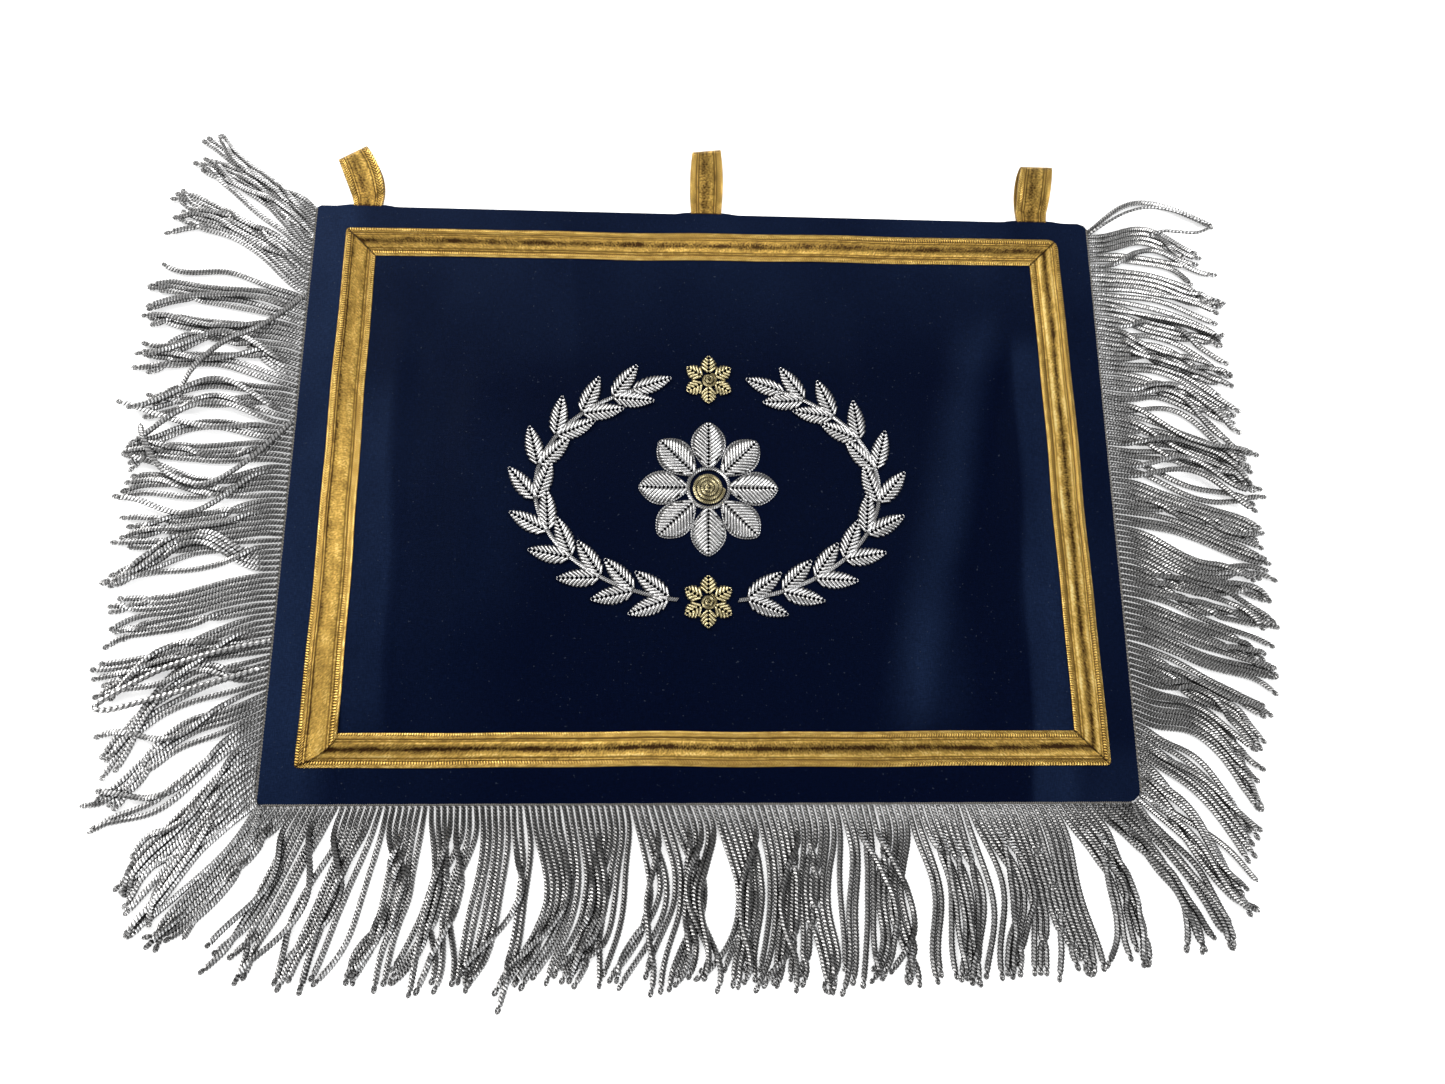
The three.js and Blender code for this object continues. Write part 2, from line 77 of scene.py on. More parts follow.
class Slot(Enum):
    """The material slots."""

    CLOTH = "cloth"
    GOLD_BRAID = "gold_braid"
    SILVER_FRINGE = "silver_fringe"
    SILVER_BULLION = "silver_bullion"
    PALE_GOLD_BULLION = "pale_gold_bullion"


class Side(Enum):
    """The two halves of the garland."""

    LEFT = -1
    RIGHT = 1


def smoothstep(value: np.ndarray | float, low: float, high: float) -> np.ndarray:
    """Return 0 below `low`, 1 above `high` and a smooth rise between them."""
    share = np.clip((np.asarray(value, float) - low) / (high - low), 0, 1)
    return share * share * (3 - 2 * share)


def unit(vectors: np.ndarray) -> np.ndarray:
    """Return vectors of length one along the last axis."""
    return vectors / np.maximum(np.linalg.norm(vectors, axis=-1, keepdims=True), 1e-9)


# Meshes and objects


def baked(name: str, bm: bmesh.types.BMesh) -> bpy.types.Mesh:
    """Return a new mesh of what was modelled in `bm`, which is freed."""
    mesh = bpy.data.meshes.new(name)
    bm.to_mesh(mesh)
    bm.free()
    return mesh


def linked(name: str, data: bpy.types.ID) -> bpy.types.Object:
    """Return a new object in the scene that shows `data`."""
    shown = bpy.data.objects.new(name, data)
    bpy.context.scene.collection.objects.link(shown)
    return shown


def points_of(mesh: bpy.types.Mesh) -> np.ndarray:
    """Return a mesh's points, one row each."""
    flat = np.zeros(len(mesh.vertices) * 3, np.float32)
    mesh.vertices.foreach_get("co", flat)
    return flat.reshape(-1, 3).astype(float)


def move_points(mesh: bpy.types.Mesh, points: np.ndarray) -> None:
    """Move a mesh's points to places given in millimetres."""
    mesh.vertices.foreach_set("co", (points * MM).astype(np.float32).ravel())


def set_attribute(mesh: bpy.types.Mesh, name: str, values: np.ndarray) -> None:
    """Write a number for each of a mesh's points, for its material to read."""
    attribute = mesh.attributes.new(name, "FLOAT", "POINT")
    attribute.data.foreach_set("value", values.astype(np.float32))


# Shader trees


class Shader:
    """One material's node tree, with short ways to add and link its nodes."""

    def __init__(self, name: str) -> None:
        """Start a material with a Principled surface."""
        self.material = bpy.data.materials.new(name)
        self.material.use_nodes = True
        self.tree = self.material.node_tree
        self.surface = self.tree.nodes["Principled BSDF"]

    def add(self, kind: str, inputs: dict | None = None, **settings: object) -> bpy.types.Node:
        """Add one node.

        Args:
            kind: The node's type name without its ShaderNode start.
            inputs: Socket names or numbers, each with a value or with the socket that feeds it.
            settings: Properties of the node, such as its operation.

        Returns:
            The new node.
        """
        node = self.tree.nodes.new("ShaderNode" + kind)
        for key, value in settings.items():
            setattr(node, key, value)
        for key, value in (inputs or {}).items():
            self.feed(node.inputs[key], value)
        return node

    def feed(self, socket: bpy.types.NodeSocket, value: object) -> None:
        """Link a socket to another one, or give it a plain value."""
        if isinstance(value, bpy.types.NodeSocket):
            self.tree.links.new(value, socket)
        else:
            socket.default_value = value

    def math(self, operation: str, *values: object) -> bpy.types.NodeSocket:
        """Return the result of one Math node."""
        return self.add("Math", dict(enumerate(values)), operation=operation).outputs[0]

    def times(self, first: object, second: object) -> bpy.types.NodeSocket:
        """Return the product of two values."""
        return self.math("MULTIPLY", first, second)

    def plus(self, first: object, second: object) -> bpy.types.NodeSocket:
        """Return the sum of two values."""
        return self.math("ADD", first, second)

    def wave(self, value: object, pitch: float) -> bpy.types.NodeSocket:
        """Return a sine wave of the given pitch along a value."""
        return self.math("SINE", self.times(value, 2 * math.pi / pitch))

    def attribute(self, name: str) -> bpy.types.NodeSocket:
        """Return a float attribute of the mesh."""
        return self.add("Attribute", attribute_name=name).outputs["Fac"]

    def noise(self, stretch: Sequence[float], detail: float = 2.0) -> bpy.types.NodeSocket:
        """Return noise on Object coordinates.

        Args:
            stretch: How many of its grains fit into a metre along each axis.
            detail: How many finer layers it has.

        Returns:
            The noise's value, about 0.5 on average.
        """
        place = self.add("TexCoord").outputs["Object"]
        mapped = self.add("Mapping", {"Vector": place, "Scale": tuple(stretch)})
        return self._noise_at(mapped.outputs[0], detail)

    def ribbon_noise(
        self, across: object, along: object, grains: tuple[float, float]
    ) -> bpy.types.NodeSocket:
        """Return noise in a ribbon's own coordinates.

        Args:
            across: The share of the ribbon's width, from 0 to 1.
            along: The place along it in millimetres.
            grains: How many grains fit across the ribbon, and how many into a millimetre along it.

        Returns:
            The noise's value, about 0.5 on average.
        """
        place = {0: self.times(across, grains[0]), 1: self.times(along, grains[1])}
        return self._noise_at(self.add("CombineXYZ", place).outputs[0], 2.0)

    def _noise_at(self, place: object, detail: float) -> bpy.types.NodeSocket:
        """Return noise at a place."""
        inputs = {"Vector": place, "Scale": 1.0, "Detail": detail}
        return self.add("TexNoise", inputs).outputs[0]

    def span(
        self, value: object, low: float, high: float, to_low: float, to_high: float
    ) -> bpy.types.NodeSocket:
        """Return a value moved from one range to another, held inside it."""
        inputs = {"Value": value, "From Min": low, "From Max": high,
                  "To Min": to_low, "To Max": to_high}
        return self.add("MapRange", inputs).outputs[0]

    def mix(
        self, share: object, first: object, second: object, blend: str = "MIX"
    ) -> bpy.types.NodeSocket:
        """Return a mix of two colours."""
        node = self.add("Mix", data_type="RGBA", blend_type=blend)
        sockets = (node.inputs[0], node.inputs[6], node.inputs[7])
        for socket, value in zip(sockets, (share, first, second)):
            self.feed(socket, (*value, 1.0) if isinstance(value, tuple) else value)
        return node.outputs[2]

    def shaded(self, colour: object, level: object) -> bpy.types.NodeSocket:
        """Return a colour made darker or lighter by a level."""
        grey = self.add("CombineColor", {0: level, 1: level, 2: level}).outputs[0]
        return self.mix(1.0, colour, grey, "MULTIPLY")

    def ramp(self, value: object, stops: Sequence[tuple[float, float]]) -> bpy.types.NodeSocket:
        """Return a grey level that follows a row of (place, level) stops."""
        node = self.add("ValToRGB", {"Fac": value})
        elements = node.color_ramp.elements
        while len(elements) < len(stops):
            elements.new(0.5)
        for element, (place, level) in zip(elements, stops):
            element.position = place
            element.color = (level, level, level, 1.0)
        return node.outputs["Color"]

    def finish(
        self, colour: object, roughness: object, metallic: float, height: object, depth: float
    ) -> None:
        """Give the surface its colour, gloss and relief.

        Args:
            colour: Base colour, or the socket that gives it.
            roughness: Roughness, or the socket that gives it.
            metallic: How metallic the surface is.
            height: The socket that gives the relief's height.
            depth: The relief's depth in metres.
        """
        self.feed(self.surface.inputs["Base Color"], colour)
        self.feed(self.surface.inputs["Roughness"], roughness)
        self.surface.inputs["Metallic"].default_value = metallic
        bump = self.add("Bump", {"Height": height, "Strength": 1.0, "Distance": depth})
        self.feed(self.surface.inputs["Normal"], bump.outputs[0])


@dataclass(frozen=True)
class SatinCloth:
    """Dark blue satin-faced cloth: fine crossed threads, a soft cool sheen, partly painted into its
    colour, and a little lint.

    It reads a number that the sheet gives each place, the painted sheen there, and adds painted
    sheen along its left side, right edge and top.
    """

    name: str = "dark blue satin cloth"
    deep: Colour = (0.0003, 0.0013, 0.0095)
    sheen_colour: Colour = (0.0072, 0.0148, 0.042)
    lint: Colour = (0.04, 0.05, 0.075)
    glance: Colour = (0.5, 0.7, 1.0)
    specular: float = 0.025
    thread_pitch: float = 0.75 * MM
    patch_grains: tuple[float, float, float] = (14, 9, 9)
    fibre_grains: tuple[float, float] = (420, 1900)
    fibre_depth_grains: float = 900
    speck_grains: tuple[float, float, float] = (640, 640, 640)
    relief: float = 0.06 * MM

    def _painted_sheen(self, shader: Shader, axes: object, patches: object) -> bpy.types.NodeSocket:
        """Return how much painted sheen lightens the cloth: most at its left, along its top and
        where the sheet paints it.
        """
        margin = shader.span(axes["X"], -0.22, -0.2, 0.6, 0.0)
        left = shader.plus(margin, shader.span(axes["X"], -0.2, -0.1, 0.24, 0.05))
        right = shader.span(axes["X"], 0.18, 0.225, 0.0, 0.2)
        top = shader.span(axes["Y"], 0.06, 0.165, 0.0, 0.42)
        sides = shader.math("MAXIMUM", left, right)
        painted_sheen_level = shader.plus(shader.math("MAXIMUM", sides, top), shader.attribute("painted_sheen_and_bands"))
        return shader.times(painted_sheen_level, shader.span(patches, 0.3, 0.7, 0.6, 1.35))

    def _fibres(self, shader: Shader) -> bpy.types.NodeSocket:
        """Return the crossed fibres of the cloth's face."""
        lengthwise, crosswise = self.fibre_grains
        across = shader.noise((lengthwise, crosswise, self.fibre_depth_grains))
        along = shader.noise((crosswise, lengthwise, self.fibre_depth_grains))
        return shader.times(across, along)

    def build(self) -> bpy.types.Material:
        """Return the cloth's material."""
        shader = Shader(self.name)
        patches = shader.noise(self.patch_grains, 3)
        fibres = self._fibres(shader)
        place = shader.add("TexCoord").outputs["Object"]
        axes = shader.add("SeparateXYZ", {0: place}).outputs
        # Painted sheen: the deep blue goes towards the lighter sheen colour.
        colour = shader.mix(self._painted_sheen(shader, axes, patches), self.deep, self.sheen_colour)
        colour = shader.shaded(colour, shader.span(fibres, 0.12, 0.4, 0.72, 1.3))
        specks = shader.span(shader.noise(self.speck_grains, 1), 0.74, 0.8, 0, 0.5)
        colour = shader.mix(specks, colour, self.lint)
        warp, weft = (shader.wave(axes[axis], self.thread_pitch) for axis in "XY")
        weave = shader.times(shader.times(warp, weft), 0.25)
        height = shader.plus(weave, shader.times(fibres, 2.0))
        roughness = shader.span(patches, 0.3, 0.7, 0.5, 0.42)
        shader.finish(colour, roughness, 0.0, height, self.relief)
        shader.surface.inputs["Specular IOR Level"].default_value = self.specular
        shader.surface.inputs["Specular Tint"].default_value = (*self.glance, 1.0)
        return shader.material


# How bright the braid is at each share of its width, from one selvedge to the other
BRAID_TONES = (
    (0.0, 0.3), (0.025, 0.95), (0.06, 0.6), (0.16, 0.58), (0.19, 0.06), (0.225, 1.0), (0.26, 0.2),
    (0.3, 0.8), (0.42, 0.64), (0.5, 0.52), (0.58, 0.64), (0.7, 0.8), (0.74, 0.2), (0.775, 1.0),
    (0.81, 0.06), (0.84, 0.58), (0.94, 0.6), (0.975, 0.95), (1.0, 0.3),
)


@dataclass(frozen=True)
class WovenBraid:
    """Gold braid: ribbed selvedges, bright raised lines and a smooth middle of fine cross threads.

    It reads the ribbon's own `across` from 0 to 1, its `along` and `from_end` in millimetres, and
    its painted highlights and darker bands, how much brighter or darker each place is painted.
    """

    name: str = "woven gold braid"
    bright: Colour = (0.77, 0.485, 0.108)
    dull: Colour = (0.045, 0.018, 0.003)
    lit: Colour = (0.98, 0.8, 0.34)
    metallic: float = 0.86
    rib_pitch: float = 1.5
    rib_slant: float = 0.9
    rib_strength: float = 0.5
    thread_pitch: float = 0.62
    selvedge: float = 0.19
    selvedge_edge: float = 0.01
    streak_grains: tuple[float, float] = (30.0, 0.03)
    patch_grains: tuple[float, float] = (4.0, 0.13)
    fleck_grains: tuple[float, float] = (15.0, 0.95)
    seam_reach: tuple[float, float] = (0.15, 1.0)
    seam_shade: float = 0.6
    relief: float = 0.09 * MM

    def build(self) -> bpy.types.Material:
        """Return the braid's material."""
        shader = Shader(self.name)
        across = shader.attribute("across")
        along = shader.attribute("along")
        off_middle = shader.math("ABSOLUTE", shader.math("SUBTRACT", across, 0.5))
        inner = 0.5 - self.selvedge
        edges = (inner - self.selvedge_edge, inner + self.selvedge_edge)
        on_selvedge = shader.span(off_middle, *edges, 0, 1)
        off_fold = shader.math("SUBTRACT", off_middle, 0.5 - self.selvedge / 2)
        slant = shader.times(shader.math("ABSOLUTE", off_fold), self.rib_slant * BRAID_WIDTH)
        ribs = shader.wave(shader.plus(along, slant), self.rib_pitch)
        threads = shader.wave(along, self.thread_pitch)
        inputs = {0: on_selvedge, 2: threads, 3: ribs}
        weave = shader.add("Mix", inputs, data_type="FLOAT").outputs[0]

        streaks = shader.ribbon_noise(across, along, self.streak_grains)
        patches = shader.ribbon_noise(across, along, self.patch_grains)
        flecks = shader.ribbon_noise(across, along, self.fleck_grains)
        level = shader.ramp(across, BRAID_TONES)
        level = shader.times(level, shader.span(patches, 0.3, 0.7, 0.6, 1.25))
        level = shader.times(level, shader.span(streaks, 0.3, 0.7, 0.92, 1.06))
        level = shader.times(level, shader.span(flecks, 0.32, 0.68, 0.45, 1.55))
        level = shader.plus(level, shader.times(ribs, shader.times(on_selvedge, self.rib_strength)))
        # Painted highlights and darker bands that the ribbon gives each place.
        level = shader.plus(level, shader.attribute("painted_sheen_and_bands"))
        # Painted shade in the seam where two strips meet.
        seam = shader.span(shader.attribute("from_end"), *self.seam_reach, self.seam_shade, 0)
        level = shader.math("SUBTRACT", level, seam)

        colour = shader.mix(shader.span(level, 0.05, 1.15, 0, 1), self.dull, self.bright)
        # Past a level of 1 the colour goes towards a painted highlight.
        colour = shader.mix(shader.span(level, 1.0, 1.7, 0, 1), colour, self.lit)
        height = shader.plus(weave, shader.times(streaks, 1.5))
        roughness = shader.span(patches, 0.3, 0.7, 0.46, 0.3)
        shader.finish(colour, roughness, self.metallic, height, self.relief)
        return shader.material


@dataclass(frozen=True)
class MetalThread:
    """Metal-wrapped cord or wire: bright on its ribs, painted shade between them and down its lower
    side, painted glints on its windings.

    It reads the cord's own painted shade, near 1 between two ribs and down its lower side, and
    `tone`, how bright it is, partly painted light.
    """

    name: str
    bright: Colour
    shade_colour: Colour
    roughness: float = 0.33
    metallic: float = 0.9
    winding: float = 0.05 * MM
    glint: float = 1.0
    dimming: float = 0.45
    brightening: float = 0.35
    glint_grains: tuple[float, float, float] = (620, 620, 620)
    winding_grains: tuple[float, float, float] = (3200, 3200, 3200)

    def build(self) -> bpy.types.Material:
        """Return the thread's material."""
        shader = Shader(self.name)
        painted_shade = shader.attribute("painted_shade")
        tone = shader.attribute("tone")
        # Painted glints: grains that lighten and darken the colour; they also change the roughness.
        glints = shader.noise(self.glint_grains, 2)
        least, most = 1 - self.dimming * self.glint, 1 + self.brightening * self.glint
        level = shader.times(tone, shader.span(glints, 0.35, 0.65, least, most))
        # Painted shade between the ribs and down the lower side darkens the colour.
        shade = shader.times(level, shader.math("SUBTRACT", 1.0, painted_shade))
        colour = shader.mix(shade, self.shade_colour, self.bright)
        windings = shader.noise(self.winding_grains, 1)
        roughness = shader.span(glints, 0.3, 0.7, self.roughness + 0.1, self.roughness - 0.08)
        shader.finish(colour, roughness, self.metallic, windings, self.winding)
        return shader.material


@dataclass(frozen=True)
class PaleSurface:
    """The plain pale floor, lit a little from below like a light table."""

    name: str = "pale floor"
    glow: float = 0.62
    colour: Colour = (0.86, 0.86, 0.855)
    mottle: float = 0.985
    mottle_grains: tuple[float, float, float] = (3, 3, 3)
    roughness: float = 0.85
    relief: float = 0.02 * MM

    def build(self) -> bpy.types.Material:
        """Return the floor's material."""
        shader = Shader(self.name)
        mottle = shader.noise(self.mottle_grains)
        colour = shader.mix(mottle, self.colour, tuple(c * self.mottle for c in self.colour))
        shader.finish(colour, self.roughness, 0.0, mottle, self.relief)
        shader.surface.inputs["Emission Color"].default_value = (1.0, 1.0, 1.0, 1.0)
        shader.surface.inputs["Emission Strength"].default_value = self.glow
        return shader.material


CLOTH = SatinCloth()
BRAID = WovenBraid()
FRINGE_CORD = MetalThread("silver fringe cord", (0.8, 0.795, 0.79), (0.006, 0.006, 0.006), 0.28)
FRINGE_HEADING = MetalThread(
    "grey heading thread", (0.2, 0.19, 0.17), (0.04, 0.035, 0.03), 0.6, 0.2, glint=0.4)
SILVER_WIRE = MetalThread(
    "silver bullion wire", (0.7, 0.695, 0.69), (0.05, 0.05, 0.055), 0.3, glint=0.7)
GOLD_WIRE = MetalThread(
    "pale gold bullion wire", (0.72, 0.63, 0.37), (0.06, 0.045, 0.02), 0.3, glint=0.7)
FLOOR = PaleSurface()


# Cords and wires bent along their routes


# Painted shade: how dark the grooves between ribs and the lower side of a cord are painted.
GROOVE_SHADE = 0.88
UNDERSIDE_SHADE = 0.94
UNDERSIDE_DEPTHS = (0.25, 1.2)


@dataclass(frozen=True)
class Bar:
    """A straight length of cord along +Z, its stations one unit apart, to be bent along a route.

    With `valley` under 1 every second station is drawn in, which leaves a row of ribs, and `slant`
    sets the ribs askew like the windings of a twisted cord.
    """

    sides: int
    stations: int
    valley: float = 1.0
    slant: float = 0.0

    @cached_property
    def mesh(self) -> bpy.types.Mesh:
        """The bar as a closed mesh: one section, drawn out step by step, with its ends filled."""
        bm = bmesh.new()
        bmesh.ops.create_circle(bm, cap_ends=False, radius=1.0, segments=self.sides)
        bmesh.ops.spin(bm, geom=bm.edges[:], cent=(0, 0, 0), axis=(0, 0, 1), dvec=(0, 0, 1),
                       angle=0.0, steps=self.stations - 1, use_merge=False, use_duplicate=False)
        bmesh.ops.holes_fill(bm, edges=bm.edges[:], sides=0)
        bmesh.ops.recalc_face_normals(bm, faces=bm.faces[:])
        for face in bm.faces:
            face.smooth = self.valley == 1.0 and len(face.verts) == 4
        for vert in bm.verts:
            if round(vert.co.z) % 2:
                vert.co.x *= self.valley
                vert.co.y *= self.valley
        return baked("bar", bm)

    @cached_property
    def points(self) -> np.ndarray:
        """The bar's points, one row each."""
        return points_of(self.mesh)

    @cached_property
    def station(self) -> np.ndarray:
        """The number of each point's station."""
        return np.rint(self.points[:, 2]).astype(int)

    @property
    def shade(self) -> np.ndarray:
        """How dark each point is painted, from 0 to 1: painted shade between two ribs and down the
        bar's lower side.
        """
        groove = (self.station % 2) * (GROOVE_SHADE if self.valley < 1 else 0.0)
        lower_side = smoothstep(1 - self.points[:, 1], *UNDERSIDE_DEPTHS)
        return 1 - (1 - groove) * (1 - UNDERSIDE_SHADE * lower_side)

    def bent(self, routes: np.ndarray, width: np.ndarray, height: np.ndarray) -> np.ndarray:
        """Bend the bar along each route.

        Args:
            routes: Centre lines, as (routes, stations, 3) in millimetres.
            width: Half the bar's width at each station.
            height: Half its height at each station.

        Returns:
            The bent bars' points, one row each, route after route.
        """
        station = self.station
        ahead = unit(np.gradient(routes, axis=1))
        side = unit(np.cross((0.0, 0.0, 1.0), ahead))
        rise = np.cross(ahead, side)
        across = (self.points[:, 0] * width[station])[None, :, None]
        upward = (self.points[:, 1] * height[station])[None, :, None]
        bent = routes[:, station] + rise[:, station] * upward
        bent += (side[:, station] + ahead[:, station] * self.slant) * across
        return bent.reshape(-1, 3)


@dataclass
class Skein:
    """Collects bent lengths of cord or wire and makes them one joined piece."""

    name: str
    materials: list[bpy.types.Material]
    parts: list[tuple[Bar, int, int]] = field(default_factory=list)
    points: list[np.ndarray] = field(default_factory=list)
    shades: list[np.ndarray] = field(default_factory=list)
    tones: list[np.ndarray] = field(default_factory=list)

    def add(
        self, bar: Bar, routes: np.ndarray, width: np.ndarray | float, height: np.ndarray | float,
        tones: np.ndarray | float = 1.0, finish: int = 0,
    ) -> None:
        """Lay a bar along each of several routes.

        Args:
            bar: The straight cord.
            routes: Centre lines, as (routes, stations, 3) in millimetres.
            width: Half the cord's width, at each station or everywhere.
            height: Half its height, at each station or everywhere.
            tones: The brightness of each route's cord, or of each of its stations.
            finish: The number of its material.
        """
        count = len(routes)
        everywhere = np.ones(bar.stations)
        self.parts.append((bar, count, finish))
        self.points.append(bar.bent(routes, width * everywhere, height * everywhere))
        self.shades.append(np.tile(bar.shade, count))
        levels = np.asarray(tones, float)
        levels = levels if levels.ndim == 2 else np.broadcast_to(levels, count)[:, None]
        self.tones.append(np.broadcast_to(levels, (count, bar.stations))[:, bar.station].ravel())

    def build(self) -> bpy.types.Object:
        """Return the joined piece."""
        bm = bmesh.new()
        finishes: list[int] = []
        for bar, count, finish in self.parts:
            for _ in range(count):
                bm.from_mesh(bar.mesh)
            finishes += [finish] * (count * len(bar.mesh.polygons))
        mesh = baked(self.name, bm)
        move_points(mesh, np.concatenate(self.points))
        mesh.polygons.foreach_set("material_index", finishes)
        # Painted shade in the grooves between ribs and down each cord's lower side.
        set_attribute(mesh, "painted_shade", np.concatenate(self.shades))
        set_attribute(mesh, "tone", np.concatenate(self.tones))
        for material in self.materials:
            mesh.materials.append(material)
        mesh.update()
        return linked(self.name, mesh)


def resampled(route: np.ndarray, stations: int) -> np.ndarray:
    """Return a route's points moved to even distances along it."""
    steps = np.linalg.norm(np.diff(route, axis=0), axis=1)
    reached = np.concatenate(([0.0], np.cumsum(steps)))
    wanted = np.linspace(0, reached[-1], stations)
    return np.stack([np.interp(wanted, reached, route[:, axis]) for axis in range(3)], axis=1)


def placed(routes: np.ndarray, angle: float, x: float, y: float) -> np.ndarray:
    """Return routes turned about +Z and moved in the plane."""
    turned = routes.copy()
    turned[..., 0] = x + routes[..., 0] * math.cos(angle) - routes[..., 1] * math.sin(angle)
    turned[..., 1] = y + routes[..., 0] * math.sin(angle) + routes[..., 1] * math.cos(angle)
    return turned


def register(piece: bpy.types.Object, nodes: Sequence[str]) -> bpy.types.Object:
    """Make a piece ride on the flag's body and stand for its solids."""
    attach(piece, BODY)
    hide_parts(*nodes)
    faces = len(piece.data.polygons)
    LOG.info("%s: %d faces, stands for %s", piece.name, faces, ", ".join(nodes))
    return piece


# Sheets of cloth and braid


Place = Callable[[np.ndarray, np.ndarray], np.ndarray]


@dataclass(frozen=True)
class Band:
    """A band along a ribbon: a painted highlight where `gain` is above 0, a darker band where it is
    below 0.

    It lies `at` a share of the width, wanders a little and comes and goes along the ribbon.
    """

    at: float
    half_width: float
    gain: float
    steadiness: float = 0.68

    def level(self, along: np.ndarray, across: np.ndarray, _points: np.ndarray) -> np.ndarray:
        """Return how much brighter the ribbon is at each place."""
        wander = 0.02 * np.sin(along / 19 + 7 * self.at)
        ridge = np.exp(-(((across - self.at - wander) / self.half_width) ** 2))
        patches = np.sin(along / 17 + 9 * self.at) * np.sin(along / 6.1 + 31 * self.at)
        return self.gain * ridge * (self.steadiness + (1 - self.steadiness) * patches)


@dataclass(frozen=True)
class Sheen:
    """A stretch of painted sheen on the cloth between two places, with a soft edge on each side."""

    upper: tuple[float, float]
    lower: tuple[float, float]
    half_width: float
    soft: tuple[float, float]
    gain: float
    fade: float = 8.0

    def level(self, _along: np.ndarray, _across: np.ndarray, points: np.ndarray) -> np.ndarray:
        """Return how much the painted sheen lightens the cloth at each place."""
        x, y = points[:, 0], points[:, 1]
        (upper_x, upper_y), (lower_x, lower_y) = self.upper, self.lower
        share = (upper_y - y) / (upper_y - lower_y)
        wander = 1.6 * np.sin(y / 21 + self.gain * 40)
        aside = x - (upper_x + (lower_x - upper_x) * share) - wander
        left, right = self.soft
        inside = smoothstep(self.half_width + aside, -left, left)
        inside = inside * smoothstep(self.half_width - aside, -right, right)
        ending = np.minimum(upper_y - y, y - lower_y)
        return self.gain * inside * smoothstep(ending, -self.fade, self.fade)


@dataclass
class Sheet:
    """A thin sheet made from an even grid, moved into its shape and given its thickness."""

    name: str
    cells: tuple[int, int]
    place: Place
    thickness: float
    edge_radius: float
    material: bpy.types.Material
    centred: bool = False
    length: float = 0.0
    bands: tuple[Band | Sheen, ...] = ()
    edge_segments: int = 3
    edge_angle: float = 55.0

    def build(self) -> bpy.types.Object:
        """Return the sheet, with its own `along`, `across`, `from_end` and the painted sheen or
        bands of its places.
        """
        bm = bmesh.new()
        bmesh.ops.create_grid(bm, x_segments=self.cells[0], y_segments=self.cells[1], size=0.5)
        for face in bm.faces:
            face.smooth = True
        mesh = baked(self.name, bm)
        shares = points_of(mesh) + 0.5
        points = self.place(shares[:, 0], shares[:, 1])
        move_points(mesh, points)
        along, across = shares[:, 0] * self.length, shares[:, 1]
        levels = (band.level(along, across, points) for band in self.bands)
        set_attribute(mesh, "along", along)
        set_attribute(mesh, "across", across)
        set_attribute(mesh, "from_end", np.minimum(along, self.length - along))
        # Painted sheen on the cloth, painted highlights and darker bands on the braid.
        set_attribute(mesh, "painted_sheen_and_bands", sum(levels, np.zeros(len(shares))))
        mesh.materials.append(self.material)
        mesh.update()
        piece = linked(self.name, mesh)
        wall = piece.modifiers.new("thickness", "SOLIDIFY")
        wall.thickness = self.thickness * MM
        wall.offset = 0.0 if self.centred else -1.0
        rim = piece.modifiers.new("turned edge", "BEVEL")
        rim.width = self.edge_radius * MM
        rim.segments = self.edge_segments
        rim.limit_method = "ANGLE"
        rim.angle_limit = math.radians(self.edge_angle)
        return piece


@dataclass(frozen=True)
class Ripple:
    """A soft crest in the field, `spread` wide on each side and `lift` above the surface."""

    upper_x: float
    upper_y: float
    lower_x: float
    lower_y: float
    spread: float
    lift: float
    fade: float = 45.0

    def height(self, x: np.ndarray, y: np.ndarray) -> np.ndarray:
        """Return how far the crest lifts the cloth at each place."""
        share = (self.upper_y - y) / (self.upper_y - self.lower_y)
        crest_x = self.upper_x + (self.lower_x - self.upper_x) * share
        aside = np.minimum(np.abs(x - crest_x) / self.spread, 1)
        ending = smoothstep(np.minimum(self.upper_y - y, y - self.lower_y), 0, self.fade)
        return self.lift * ending * (1 + np.cos(np.pi * aside)) / 2


RIPPLES = (
    Ripple(upper_x=168, upper_y=112, lower_x=118, lower_y=-132, spread=24, lift=2.0),
    Ripple(upper_x=186, upper_y=70, lower_x=184, lower_y=-130, spread=13, lift=1.1),
    Ripple(upper_x=-184, upper_y=120, lower_x=-182, lower_y=-132, spread=15, lift=1.3),
    Ripple(upper_x=-134, upper_y=90, lower_x=-142, lower_y=-128, spread=20, lift=1.5),
)


# Stretches of painted sheen on the cloth, where its ripples and folds catch the light.
SHEENS = (
    Sheen(upper=(-197, 70), lower=(-188, -140), half_width=12, soft=(6, 3), gain=0.4, fade=25),
    Sheen(upper=(-122, 30), lower=(-118, -62), half_width=16, soft=(28, 28), gain=0.2, fade=32),
    Sheen(upper=(166, 105), lower=(112, -133), half_width=9, soft=(15, 11), gain=0.52, fade=22),
    Sheen(upper=(130, -62), lower=(128, -136), half_width=15, soft=(9, 13), gain=0.2, fade=16),
    Sheen(upper=(199, 95), lower=(192, -184), half_width=12, soft=(2.5, 8), gain=0.5, fade=12),
    Sheen(upper=(224, -148), lower=(224, -184), half_width=24, soft=(12, 6), gain=0.2, fade=8),
    Sheen(upper=(-150, 150), lower=(-150, 75), half_width=70, soft=(20, 3), gain=0.1, fade=20),
)


@dataclass(frozen=True)
class LoopPlan:
    """One hanging loop: its place on the top edge, and how its far end has moved and turned."""

    name: str
    x: float
    width: float
    length: float
    shift: float
    turn: float
    flare: float
    belly: float


